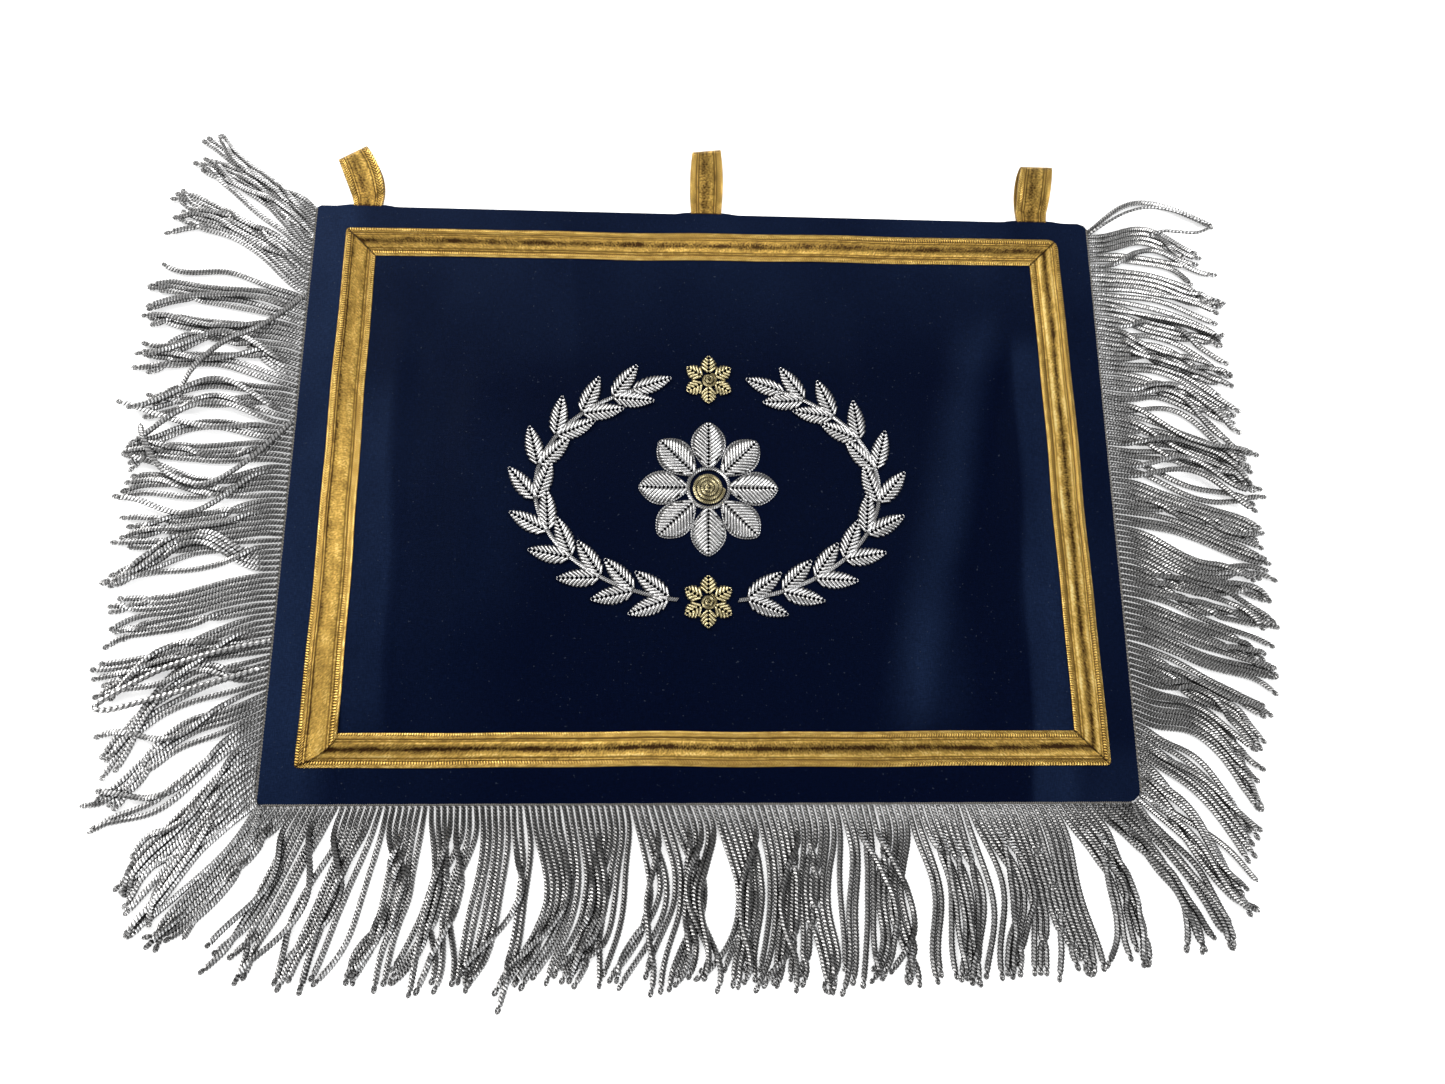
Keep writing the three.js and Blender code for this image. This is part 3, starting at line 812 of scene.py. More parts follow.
LOOPS = (
    LoopPlan("loop_left", x=-209.4, width=17, length=33,
             shift=-11, turn=34, flare=0.92, belly=0.3),
    LoopPlan("loop_middle", x=-1.6, width=19, length=41,
             shift=0, turn=8, flare=0.92, belly=0.12),
    LoopPlan("loop_right", x=204.6, width=18.7, length=36,
             shift=4.3, turn=0, flare=1.07, belly=0.1),
)

# The hem stands out a little over each loop's root
HEM_RISE = 1.2
HEM_RISE_SLOPE = 10.0


@dataclass
class FieldPanel:
    """The turned-edge panel of dark blue cloth."""

    edge_zone: float = 14.0
    edge_cells: int = 10
    inner_cell: float = 3.0
    corner_radii: tuple[float, float, float, float] = (3.0, 6.0, 10.0, 5.0)
    edge_radius: float = 0.9
    slack_zone: float = 16.0

    def _stations(self, half: float) -> np.ndarray:
        """Return the grid's lines from one edge to the other, closest together at the edges."""
        rim = half - self.edge_zone * (1 - np.linspace(0, 1, self.edge_cells + 1))
        inner_half = half - self.edge_zone
        inner = np.linspace(-inner_half, inner_half, int(2 * inner_half / self.inner_cell) + 1)
        return np.concatenate((-rim[::-1], inner[1:-1], rim))

    def _corner_inset(self, y: np.ndarray, right: bool) -> np.ndarray:
        """Return how far the rounded corners draw a side edge in at each height."""
        top_left, top_right, bottom_right, bottom_left = self.corner_radii
        upper, lower = (top_right, bottom_right) if right else (top_left, bottom_left)
        inset = np.zeros_like(y)
        above, below = y - (HALF_HEIGHT - upper), (lower - HALF_HEIGHT) - y
        for radius, depth in ((upper, above), (lower, below)):
            inside = np.clip(depth, 0, radius)
            inset += radius - np.sqrt(radius**2 - inside**2)
        return inset

    def place(self, along: np.ndarray, across: np.ndarray) -> np.ndarray:
        """Return the cloth's upper face at each place of its grid."""
        columns = self._stations(HALF_WIDTH)
        rows = self._stations(HALF_HEIGHT)
        x = columns[np.rint(along * (len(columns) - 1)).astype(int)]
        y = rows[np.rint(across * (len(rows) - 1)).astype(int)]
        lift = sum(ripple.height(x, y) for ripple in RIPPLES) + self._slack(x, y)
        for right in (False, True):
            from_edge = HALF_WIDTH - x if right else HALF_WIDTH + x
            near = np.clip(1 - from_edge / self.edge_zone, 0, 1)
            inset = self._corner_inset(y, right) * near
            x = x - inset if right else x + inset
        for loop in LOOPS:
            half = loop.width / 2 + 1
            near = 1 - smoothstep(np.abs(x - loop.x), half, half + HEM_RISE_SLOPE)
            y = y + HEM_RISE * near * smoothstep(y, HALF_HEIGHT - HEM_RISE_SLOPE, HALF_HEIGHT)
        return np.stack((x, y, CLOTH_THICKNESS + lift), axis=1)

    def _slack(self, x: np.ndarray, y: np.ndarray) -> np.ndarray:
        """Return the slight unevenness of a lining-backed panel, smallest at its edges."""
        waves = (
            0.16 * np.sin(x / 31 + 0.6 * np.sin(y / 47)) * np.sin(y / 57 + 1.1)
            + 0.1 * np.sin(x / 13.5 + y / 41) * np.sin(y / 23 - x / 90)
            + 0.26
        )
        from_edge = np.minimum(HALF_WIDTH - np.abs(x), HALF_HEIGHT - np.abs(y))
        return waves * smoothstep(from_edge, 0, self.slack_zone)

    def build(self, material: bpy.types.Material) -> bpy.types.Object:
        """Return the panel."""
        cells = (len(self._stations(HALF_WIDTH)) - 1, len(self._stations(HALF_HEIGHT)) - 1)
        panel = Sheet("field_panel", cells, self.place, CLOTH_THICKNESS, self.edge_radius,
                      material, bands=SHEENS)
        return register(panel.build(), ["field"])


@dataclass(frozen=True)
class Corner:
    """A corner of the braid border: its outer and inner points and how round its outside is."""

    outer: tuple[float, float]
    inner: tuple[float, float]
    roundness: float


TOP_LEFT = Corner((-220.8, 163.0), (-201.8, 144.4), 1.5)
TOP_RIGHT = Corner((219.8, 166.0), (200.8, 147.4), 6.0)
BOTTOM_RIGHT = Corner((224.0, -157.6), (204.6, -138.4), 2.0)
BOTTOM_LEFT = Corner((-221.0, -158.4), (-199.6, -139.8), 1.5)

# The braid's woven relief: height at each share of its width
BRAID_RELIEF = (
    (0.0, 0.55), (0.03, 0.85), (0.09, 1.05), (0.16, 0.9), (0.195, 0.6), (0.225, 1.1), (0.26, 0.8),
    (0.3, 1.25), (0.42, 1.12), (0.5, 0.98), (0.58, 1.2), (0.7, 1.25), (0.74, 0.8), (0.775, 1.1),
    (0.805, 0.6), (0.84, 0.9), (0.91, 1.05), (0.97, 0.85), (1.0, 0.55),
)


def braid_relief(across: np.ndarray) -> np.ndarray:
    """Return the height of the braid's face at each share of its width."""
    shares, heights = zip(*BRAID_RELIEF)
    return np.interp(across, shares, heights)


@dataclass
class BraidStrip:
    """One straight length of gold braid between two corners of the border."""

    name: str
    start: Corner
    end: Corner
    phase: float
    bands: tuple[Band, ...]
    lap: float = 0.0
    lap_rise: float = 1.15
    lap_slope: tuple[float, float] = (26.0, 6.0)
    step: float = 2.4
    cells_across: int = 36
    waver: float = 0.6
    dent: float = 0.07
    seam_gap: float = 0.12
    seam_sink: float = 0.28
    seam_slope: float = 1.6
    thickness: float = 0.55
    edge_radius: float = 0.12
    sewn_level: float = CLOTH_THICKNESS + 0.12

    @property
    def length(self) -> float:
        """The strip's outer length."""
        return math.dist(self.start.outer, self.end.outer)

    def _rounded(self, points: np.ndarray, corner: Corner) -> np.ndarray:
        """Return points drawn in round a corner's outside."""
        inward = np.sign(np.array(corner.inner) - np.array(corner.outer))
        centre = np.array(corner.outer) + inward * corner.roundness
        offset = (points - centre) * -inward
        inside = (offset > 0).all(axis=1)
        reach = np.linalg.norm(offset, axis=1)
        shrink = np.max(offset, axis=1) / np.maximum(reach, 1e-9)
        return np.where(inside[:, None], centre - inward * offset * shrink[:, None], points)

    def _reach(self, along: np.ndarray, across: np.ndarray) -> np.ndarray:
        """Return how far along the border each place lies, with the lapped end's curved edge."""
        gap = self.seam_gap / self.length
        lapping = smoothstep(along, 0.9, 1) * self.lap
        outer_round = np.sin(np.minimum(across / 0.8, 1) * np.pi / 2) ** 1.4
        curve = outer_round * (1 - across + 1e-6) ** 0.15
        return gap + along * (1 - 2 * gap) + lapping * curve / self.length

    def _height(self, along: np.ndarray, across: np.ndarray) -> np.ndarray:
        """Return the height of the braid's face: its weave, its dents and its sewn-down ends."""
        distance = along * self.length
        from_end = np.minimum(along, 1 - along) * self.length
        dents = self.dent * np.sin(distance / 5.1 + self.phase) * np.sin(across * 9 + distance / 17)
        sunk = 1 - self.seam_sink + self.seam_sink * smoothstep(from_end, 0, self.seam_slope)
        face = braid_relief(across) * sunk + dents
        if not self.lap:
            return self.sewn_level + face
        foot, head = self.lap_slope
        over = smoothstep(distance, self.length - foot, self.length - head)
        return self.sewn_level + face + self.lap_rise * over

    def place(self, along: np.ndarray, across: np.ndarray) -> np.ndarray:
        """Return the braid's face at each share of its length and width."""
        reach = self._reach(along, across)[:, None]
        start_outer, start_inner = np.array((self.start.outer, self.start.inner))
        end_outer, end_inner = np.array((self.end.outer, self.end.inner))
        outer = start_outer + (end_outer - start_outer) * reach
        inner = start_inner + (end_inner - start_inner) * reach
        points = outer + (inner - outer) * across[:, None]
        way = unit(end_outer - start_outer)
        distance = along * self.length
        drift = 0.6 * np.sin(distance / 37 + self.phase)
        drift = drift + 0.4 * np.sin(distance / 13.7 + 2.1 * self.phase)
        sideways = self.waver * drift * np.sin(np.pi * along)
        points += np.array((-way[1], way[0])) * sideways[:, None]
        for corner in (self.start, self.end):
            points = self._rounded(points, corner)
        return np.column_stack((points, self._height(along, across)))

    def build(self, material: bpy.types.Material) -> bpy.types.Object:
        """Return the strip."""
        cells = (int(self.length / self.step), self.cells_across)
        sheet = Sheet(f"{self.name}_ribbon", cells, self.place, self.thickness, self.edge_radius,
                      material, length=self.length, bands=self.bands)
        return register(sheet.build(), [self.name])


# The loops' bands: a broad darker band, a narrow darker line and a narrow painted highlight.
LOOP_BANDS = (Band(0.5, 0.45, -0.16), Band(0.4, 0.05, -0.25), Band(0.62, 0.05, 0.25))


@dataclass
class HangingLoop:
    """One loop of folded gold braid that stands open on the top edge."""

    plan: LoopPlan
    thickness: float = 1.0
    edge_radius: float = 0.2
    end_radius: float = 4.6
    clearance: float = 0.1
    root_length: float = 6.0
    root_gap: float = 0.3
    bulge: float = 13.0
    tucked: float = 1.2
    crease: float = 0.22
    cupping: float = 0.5
    stations: int = 200
    cells: tuple[int, int] = (84, 36)

    @cached_property
    def _side(self) -> np.ndarray:
        """The ribbon's middle seen from the side, as rows of distance out and height."""
        half = self.thickness / 2 + self.clearance
        bend = self.end_radius - half
        end = self.plan.length - self.end_radius
        lower = [(out, half) for out in np.linspace(-self.tucked, end, 24)]
        turns = np.linspace(-np.pi / 2, np.pi / 2, 15)[1:]
        round_end = [
            (end + bend * math.cos(turn), self.end_radius + bend * math.sin(turn)) for turn in turns
        ]
        top = 2 * self.end_radius - half
        root = (self.root_length, 3 * half)
        upper = []
        for share in np.linspace(0, 1, 20)[1:]:
            rest = 1 - share
            upper.append((
                rest**2 * end + 2 * rest * share * self.bulge + share**2 * root[0],
                rest**2 * top + 2 * rest * share * top + share**2 * root[1],
            ))
        rows = [*lower, *round_end, *upper, (-self.tucked, 3 * half)]
        return np.array([(out, 0.0, height) for out, height in rows])

    @property
    def ribbon_length(self) -> float:
        """The length of braid in the loop."""
        return float(np.linalg.norm(np.diff(self._side, axis=0), axis=1).sum())

    def place(self, along: np.ndarray, across: np.ndarray) -> np.ndarray:
        """Return the loop's middle at each share of its length and width."""
        plan = self.plan
        route = resampled(self._side, self.stations)
        last = self.stations - 1
        at = np.clip(along * last, 0, last)
        out, height = (np.interp(at, np.arange(self.stations), route[:, axis]) for axis in (0, 2))
        outward = np.clip(out / plan.length, 0, 1)
        belly = 1 + plan.belly * np.sin(np.pi * outward)
        aside = (across - 0.5) * plan.width * (1 + (plan.flare - 1) * outward) * belly
        far = outward**2
        upper = smoothstep(along, 0.5, 0.62)
        crease = self.crease * np.cos(across * 4 * np.pi) * (1 - outward) ** 1.5
        crease = crease * upper * smoothstep(outward, 0.03, 0.3)
        cupped = self.cupping * upper * (1 - (2 * across - 1) ** 2) * outward * (1 - outward) * 4
        x = plan.x + aside + far * plan.shift
        turned = far * aside * math.tan(math.radians(plan.turn))
        y = HALF_HEIGHT + HEM_RISE + self.root_gap + out + turned
        return np.column_stack((x, y, height + crease + cupped))

    def build(self, material: bpy.types.Material) -> bpy.types.Object:
        """Return the loop."""
        sheet = Sheet(f"{self.plan.name}_ribbon", self.cells, self.place, self.thickness,
                      self.edge_radius, material, True, self.ribbon_length, LOOP_BANDS)
        return register(sheet.build(), [self.plan.name])


# The fringe


@dataclass(frozen=True)
class Lock:
    """Neighbouring cords of a fringe that lie together.

    `root` and `tip` are the ways that they leave the heading and point at their ends, in degrees
    from straight out and positive towards the end of the edge, and `gather` is how far they close
    up.
    """

    cords: int
    root: float
    tip: float
    length: float
    gather: float


LEFT_LOCKS = (
    Lock(cords=8, root=-42, tip=-32, length=86, gather=0.2),
    Lock(cords=7, root=-38, tip=-21, length=93, gather=0.2),
    Lock(cords=5, root=-24, tip=4, length=92, gather=0.34),
    Lock(cords=4, root=-20, tip=6, length=90, gather=0.3),
    Lock(cords=6, root=-16, tip=8, length=90, gather=0.34),
    Lock(cords=5, root=-14, tip=14, length=88, gather=0.3),
    Lock(cords=7, root=-9, tip=8, length=92, gather=0.34),
    Lock(cords=5, root=-2, tip=8, length=90, gather=0.34),
    Lock(cords=6, root=-2, tip=14, length=86, gather=0.3),
    Lock(cords=5, root=2, tip=16, length=90, gather=0.34),
    Lock(cords=6, root=4, tip=22, length=90, gather=0.3),
    Lock(cords=6, root=10, tip=30, length=94, gather=0.3),
    Lock(cords=5, root=18, tip=38, length=96, gather=0.2),
    Lock(cords=6, root=26, tip=44, length=96, gather=0.1),
    Lock(cords=5, root=36, tip=52, length=92, gather=0),
    Lock(cords=4, root=46, tip=58, length=88, gather=0),
)
BOTTOM_LOCKS = (
    Lock(cords=5, root=-33, tip=-40, length=86, gather=0),
    Lock(cords=5, root=-22, tip=-30, length=90, gather=0.2),
    Lock(cords=6, root=-12, tip=-24, length=92, gather=0.32),
    Lock(cords=6, root=-4, tip=-24, length=90, gather=0.34),
    Lock(cords=5, root=4, tip=-22, length=90, gather=0.3),
    Lock(cords=7, root=8, tip=-22, length=90, gather=0.34),
    Lock(cords=2, root=10, tip=-18, length=98, gather=0.2),
    Lock(cords=6, root=12, tip=-26, length=90, gather=0.34),
    Lock(cords=7, root=16, tip=-28, length=90, gather=0.34),
    Lock(cords=6, root=20, tip=-30, length=92, gather=0.32),
    Lock(cords=7, root=24, tip=-26, length=92, gather=0.34),
    Lock(cords=6, root=20, tip=-18, length=90, gather=0.34),
    Lock(cords=6, root=16, tip=-14, length=92, gather=0.3),
    Lock(cords=5, root=14, tip=-10, length=90, gather=0.34),
    Lock(cords=7, root=14, tip=-12, length=90, gather=0.34),
    Lock(cords=6, root=16, tip=-10, length=90, gather=0.3),
    Lock(cords=6, root=18, tip=-6, length=90, gather=0.34),
    Lock(cords=6, root=22, tip=-4, length=89, gather=0.32),
    Lock(cords=6, root=26, tip=0, length=88, gather=0.3),
    Lock(cords=5, root=36, tip=6, length=88, gather=0.2),
    Lock(cords=6, root=52, tip=18, length=90, gather=0),
)
RIGHT_LOCKS = (
    Lock(cords=1, root=-34, tip=24, length=86, gather=0),
    Lock(cords=5, root=-4, tip=14, length=66, gather=0.3),
    Lock(cords=6, root=2, tip=22, length=80, gather=0.34),
    Lock(cords=5, root=6, tip=24, length=80, gather=0.3),
    Lock(cords=6, root=8, tip=24, length=80, gather=0.34),
    Lock(cords=6, root=8, tip=28, length=84, gather=0.34),
    Lock(cords=5, root=10, tip=34, length=92, gather=0.3),
    Lock(cords=6, root=8, tip=26, length=90, gather=0.34),
    Lock(cords=5, root=6, tip=28, length=90, gather=0.34),
    Lock(cords=6, root=8, tip=32, length=90, gather=0.3),
    Lock(cords=6, root=8, tip=22, length=92, gather=0.34),
    Lock(cords=5, root=10, tip=30, length=90, gather=0.3),
    Lock(cords=6, root=12, tip=30, length=88, gather=0.3),
    Lock(cords=6, root=16, tip=38, length=84, gather=0.25),
    Lock(cords=6, root=22, tip=46, length=82, gather=0.1),
    Lock(cords=5, root=34, tip=56, length=86, gather=0),
    Lock(cords=5, root=46, tip=66, length=84, gather=0),
)


@dataclass(frozen=True)
class CordSizes:
    """Sizes of the fringe's doubled and twisted metal cords."""

    radius: float = 1.85
    contact: float = 3.3
    crowding: float = 1.2
    root_height: float = 1.4
    root_width: float = 0.8
    root_light: float = 0.5
    stations: int = 101
    nodes: int = 34
    rounded_stations: float = 2.2
    end_loop_radius: float = 0.85
    end_loop_turn: float = 0.82
    end_loop_long: tuple[float, float] = (1.0, 1.9)
    end_loop_wide: tuple[float, float] = (0.6, 0.95)
    shared_end_radius: float = 1.45
    heading_radius: float = 0.75


CORD = CordSizes()
CORD_BAR = Bar(sides=7, stations=CORD.stations, valley=0.74, slant=0.42)
END_LOOP_BAR = Bar(sides=6, stations=13, valley=0.75)
STRAY_BAR = Bar(sides=8, stations=115, valley=0.74, slant=0.42)
HEADING_BAR = Bar(sides=6, stations=400, valley=0.75, slant=0.5)


def uneven_tones(
    draw: np.random.Generator, count: int, mean: float, spread: float, least: float
) -> np.ndarray:
    """Return how brightly each of several cords or wires shines."""
    return draw.normal(mean, spread, count).clip(least, 1.1)


@dataclass(frozen=True)
class Stray:
    """A cord that lies across the others, in an open loop or out from a corner."""

    points: tuple[tuple[float, float], ...]
    radius: float
    height: float
    tone: float = 0.92
    tip_fineness: float = 45.0
    tip_least: float = 0.3

    def radii(self, stations: int) -> np.ndarray:
        """Return the cord's radius at each station, rounded off at its tip."""
        rest = 1 - np.linspace(0, 1, stations)
        return self.radius * np.clip(rest * self.tip_fineness, self.tip_least, 1)

    def route(self, stations: int) -> np.ndarray:
        """Return the cord's smooth route through its points."""
        knots = np.array([(x, y, self.height) for x, y in self.points])
        knots[(0, -1), 2] = max(CORD.root_height, self.radius)
        before_first, after_last = 2 * knots[:1] - knots[1:2], 2 * knots[-1:] - knots[-2:-1]
        knots = np.concatenate((before_first, knots, after_last))
        curve = []
        for before, first, second, after in zip(knots, knots[1:], knots[2:], knots[3:]):
            share = np.linspace(0, 1, 16, endpoint=False)[:, None]
            curve.append(0.5 * (2 * first + (second - before) * share
                                + (2 * before - 5 * first + 4 * second - after) * share**2
                                + (3 * first - before - 3 * second + after) * share**3))
        return resampled(np.concatenate(curve), stations)


@dataclass(frozen=True)
class Manner:
    """How companies of cords lie: how many cords they have, and how far they bow, lean and rise."""

    cords: tuple[int, int]
    bow: float
    lean: float
    layers: tuple[int, int]


LYING = Manner(cords=(2, 7), bow=1.0, lean=0.3, layers=(0, 2))
CROSSING = Manner(cords=(1, 4), bow=1.5, lean=1.1, layers=(2, 4))


@dataclass
class Company:
    """Neighbouring cords that lie alike: how many are still to come, and how they lie."""

    manner: Manner
    left: int = 0
    bow: float = 0.0
    lean: float = 0.0
    layer: float = 0.0

    def renew(self, draw: np.random.Generator, looseness: float) -> None:
        """Start the next company."""
        self.left = int(draw.integers(*self.manner.cords))
        self.bow = draw.normal(0, looseness * self.manner.bow)
        self.lean = draw.normal(0, looseness * self.manner.lean)
        self.layer = CORD.contact * float(draw.integers(*self.manner.layers))


@dataclass(frozen=True)
class Unevenness:
    """How a fringe's cords differ from one another, in millimetres and degrees."""

    length_wave: float = 3.5
    length_turn: float = 2.4
    length_mean: float = -1.5
    length_spread: float = 1.6
    curl: float = 16.0
    sway: float = 4.0
    sway_turns: float = 9.0
    lift: float = 0.8


@dataclass(frozen=True)
class Settling:
    """How the cords settle: the small moves that part them, lower them and keep them smooth."""

    passes: int = 70
    neighbours: int = 10
    reach: int = 3
    push: float = 0.25
    most: float = 0.5
    drawn_nodes: int = 4
    draw_in: float = 0.05
    sink: float = 0.1
    stiff: float = 0.7
    beside: float = 0.15
    spring: float = 0.985


UNEVENNESS = Unevenness()
SETTLING = Settling()


@dataclass
class Fringe:
    """A length of fringe: its heading thread and its cords, fanned out and settled."""

    name: str
    locks: tuple[Lock, ...]
    start: tuple[float, float]
    along: tuple[float, float]
    away: tuple[float, float]
    length: float
    seed: int
    pieces: tuple[str, ...]
    # Painted light: how bright the cords are painted at the fringe's start and at its end.
    painted_light: tuple[float, float] = (1.0, 1.0)
    looseness: float = 5.5
    closeness: float = 0.1
    wandering: float = 0.22
    strays: tuple[Stray, ...] = ()

    def _world(self, along: np.ndarray, out: np.ndarray) -> np.ndarray:
        """Return places in the frame from distances along the edge and out from it."""
        return np.stack([self.start[axis] + self.along[axis] * along + self.away[axis] * out
                         for axis in (0, 1)], axis=-1)

    @staticmethod
    def _way(lock: Lock, draw: np.random.Generator) -> tuple[np.ndarray, np.ndarray]:
        """Draw the way of one cord.

        Args:
            lock: The lock that the cord lies in.
            draw: The source of its own curl and sway.

        Returns:
            How far the cord drifts along the edge and how far it reaches out from it, at each
            node, where every step of the cord has length one.
        """
        uneven = UNEVENNESS
        shares = (np.arange(CORD.nodes - 1) + 0.5) / (CORD.nodes - 1)
        curl, sway = draw.normal(0, uneven.curl), draw.normal(0, uneven.sway)
        when = draw.uniform(0, 2 * math.pi)
        way = lock.root + (lock.tip - lock.root) * shares
        way = way + sway * np.sin(shares * uneven.sway_turns + when)
        turned = np.radians(way + curl * smoothstep(shares, 0.6, 1))
        drift = np.concatenate(([0.0], np.cumsum(np.sin(turned))))
        out = np.concatenate(([0.0], np.cumsum(np.cos(turned))))
        return drift, out

    def _planned(self) -> tuple[np.ndarray, np.ndarray]:
        """Plan each cord's route before it settles.

        Returns:
            The routes, as (cords, nodes, 3), and for each cord whether it ends in a bend that it
            shares with the next.
        """
        uneven = UNEVENNESS
        draw = np.random.default_rng(self.seed)
        crowds = [round(lock.cords * CORD.crowding) for lock in self.locks]
        pitch = self.length / sum(crowds)
        reached = np.linspace(0, 1, CORD.nodes)
        swell = np.sin(np.pi * np.clip((reached - 0.08) / 0.92, 0, 1)) ** 2
        routes, shared = [], []
        number = 0
        companies = (Company(LYING), Company(CROSSING))
        for lock, cords in zip(self.locks, crowds):
            first_at = (number + 0.5) * pitch
            middle_at = first_at + (cords - 1) * pitch / 2
            pair_at = draw.integers(1, cords - 1) if cords > 3 else -1
            closing = lock.gather * self.closeness * smoothstep(reached, 0, 0.7)
            for k in range(cords):
                crossing = bool(draw.random() < self.wandering)
                company = companies[crossing]
                if not company.left:
                    company.renew(draw, self.looseness)
                company.left -= 1
                root_at = first_at + k * pitch
                length = lock.length + uneven.length_wave * math.sin(number * uneven.length_turn)
                length += draw.normal(uneven.length_mean, uneven.length_spread)
                step = length / (CORD.nodes - 1)
                drift, out = self._way(lock, draw)
                aside = company.bow * swell + company.lean * smoothstep(reached, 0.4, 1)
                along = root_at + drift * step + aside - closing * (root_at - middle_at)
                lift = company.layer + draw.uniform(0, uneven.lift)
                height = CORD.radius + lift * smoothstep(reached, 0.02, 0.16)
                routes.append(np.column_stack((self._world(along, out * step), height)))
                shared.append(k == pair_at and not crossing and company.left > 0)
                number += 1
        return np.array(routes), np.array(shared)

    @staticmethod
    def _parted(routes: np.ndarray) -> np.ndarray:
        """Return how far each node is pushed by the cords that it touches."""
        push = np.zeros_like(routes)
        for apart in range(1, min(SETTLING.neighbours + 1, len(routes))):
            for shift in range(-SETTLING.reach, SETTLING.reach + 1):
                near = slice(max(0, -shift), CORD.nodes - max(0, shift))
                far = slice(max(0, shift), CORD.nodes - max(0, -shift))
                gap = routes[apart:, far] - routes[:-apart, near]
                distance = np.linalg.norm(gap, axis=2, keepdims=True)
                short = np.clip(CORD.contact - distance, 0, None) * SETTLING.push
                move = gap / np.maximum(distance, 1e-6) * short
                push[apart:, far] += move
                push[:-apart, near] -= move
        return np.clip(push, -SETTLING.most, SETTLING.most)

    def _settled(self, routes: np.ndarray, shared: np.ndarray) -> np.ndarray:
        """Let the cords push each other apart and sink onto the surface or onto one another.

        Args:
            routes: The planned routes, as (cords, nodes, 3).
            shared: For each cord, whether its end is drawn to the next one's.

        Returns:
            The settled routes.
        """
        planned = routes.copy()
        planned[:, :, 2] = CORD.radius
        rising = smoothstep(np.linspace(0, 1, CORD.nodes), 0, 0.12)
        floor = CORD.root_height + (CORD.radius - CORD.root_height) * rising
        pairs = np.flatnonzero(shared)
        ends = slice(-SETTLING.drawn_nodes, None)
        for _ in range(SETTLING.passes):
            routes = routes + self._parted(routes)
            tips = routes[pairs + 1, ends] - routes[pairs, ends]
            routes[pairs, ends, :2] += SETTLING.draw_in * tips[..., :2]
            routes[pairs + 1, ends, :2] -= SETTLING.draw_in * tips[..., :2]
            routes[:, :, 2] -= SETTLING.sink
            strain = routes - planned
            beside = strain[:, :-2] + strain[:, 2:]
            strain[:, 1:-1] = SETTLING.stiff * strain[:, 1:-1] + SETTLING.beside * beside
            strain[:, :, :2] *= SETTLING.spring
            strain[:, 0] = 0
            routes = planned + strain
            routes[:, :, 2] = np.maximum(routes[:, :, 2], floor)
            routes[:, 0, 2] = floor[0]
        return routes

    @staticmethod
    def _end_loops(routes: np.ndarray, draw: np.random.Generator) -> np.ndarray:
        """Return the small loops in which single cords end."""
        tips = routes[:, -1]
        ahead = unit(tips - routes[:, -3])
        side = unit(np.cross((0.0, 0.0, 1.0), ahead))
        half_turn = CORD.end_loop_turn * np.pi
        turns = np.linspace(-half_turn, half_turn, END_LOOP_BAR.stations)[None, :, None]
        long = draw.uniform(*CORD.end_loop_long, len(tips))[:, None, None]
        wide = draw.uniform(*CORD.end_loop_wide, len(tips))[:, None, None]
        centre = tips[:, None] + ahead[:, None] * long * 0.8
        loops = centre + ahead[:, None] * long * np.cos(turns)
        loops = loops + side[:, None] * wide * np.sin(turns)
        loops[:, :, 2] = np.maximum(loops[:, :, 2], CORD.end_loop_radius)
        return loops

    @staticmethod
    def _shared_ends(first: np.ndarray, second: np.ndarray) -> np.ndarray:
        """Return the bends that join the tips of neighbouring cords."""
        shares = np.linspace(0, 1, END_LOOP_BAR.stations)[None, :, None]
        start, stop = first[:, -1][:, None], second[:, -1][:, None]
        reach = np.linalg.norm(stop - start, axis=2, keepdims=True) * 0.9 + 2.2
        leave = unit(first[:, -1] - first[:, -3])[:, None] * reach
        arrive = unit(second[:, -1] - second[:, -3])[:, None] * reach
        rest = 1 - shares
        bends = (rest**3 * start + 3 * rest**2 * shares * (start + leave)
                 + 3 * rest * shares**2 * (stop + arrive) + shares**3 * stop)
        bends[:, :, 2] = np.maximum(bends[:, :, 2], CORD.radius)
        return bends

    @staticmethod
    def _cord_sizes(along_cord: np.ndarray) -> tuple[np.ndarray, np.ndarray]:
        """Return half a cord's width and height at each station: slim root, rounded tip."""
        rounded = (1 - along_cord) * CORD.stations / CORD.rounded_stations
        rounded = CORD.radius * np.sqrt(np.clip(rounded, 0.02, 1))
        root_width, root_height = CORD.root_width, CORD.root_height / CORD.radius
        width = root_width + (1 - root_width) * smoothstep(along_cord, 0, 0.25)
        height = root_height + (1 - root_height) * smoothstep(along_cord, 0, 0.12)
        return rounded * width, rounded * height

    @staticmethod
    def _rootward(along_cord: np.ndarray) -> np.ndarray:
        """Return how much light reaches each station, least where the roots crowd together."""
        return CORD.root_light + (1 - CORD.root_light) * smoothstep(along_cord, 0.0, 0.26)

    def _heading(self, first: float, last: float) -> np.ndarray:
        """Return the route of the heading thread over one stretch of the edge."""
        along = np.linspace(first, last, HEADING_BAR.stations)
        place = self._world(along, np.full_like(along, -0.55))
        height = CLOTH_THICKNESS - 0.35 + 0.05 * np.sin(along / 3)
        return np.column_stack((place, height))[None]

    def _lay_strays(self, skein: Skein) -> None:
        """Lay the cords that cross the others."""
        for stray in self.strays:
            route = stray.route(STRAY_BAR.stations)[None]
            radii = stray.radii(STRAY_BAR.stations)
            # Strays get the painted light of the fringe's start.
            skein.add(STRAY_BAR, route, radii, radii, stray.tone * self.painted_light[0])

    def build(
        self, cord: bpy.types.Material, heading: bpy.types.Material
    ) -> list[bpy.types.Object]:
        """Return the fringe's pieces, one stretch of its edge after another."""
        draw = np.random.default_rng(self.seed + 100)
        planned, shared = self._planned()
        routes = self._settled(planned, shared)
        along_cord = np.linspace(0, 1, CORD.stations)
        width, height = self._cord_sizes(along_cord)
        fine = np.array([resampled(route, CORD.stations) for route in routes])
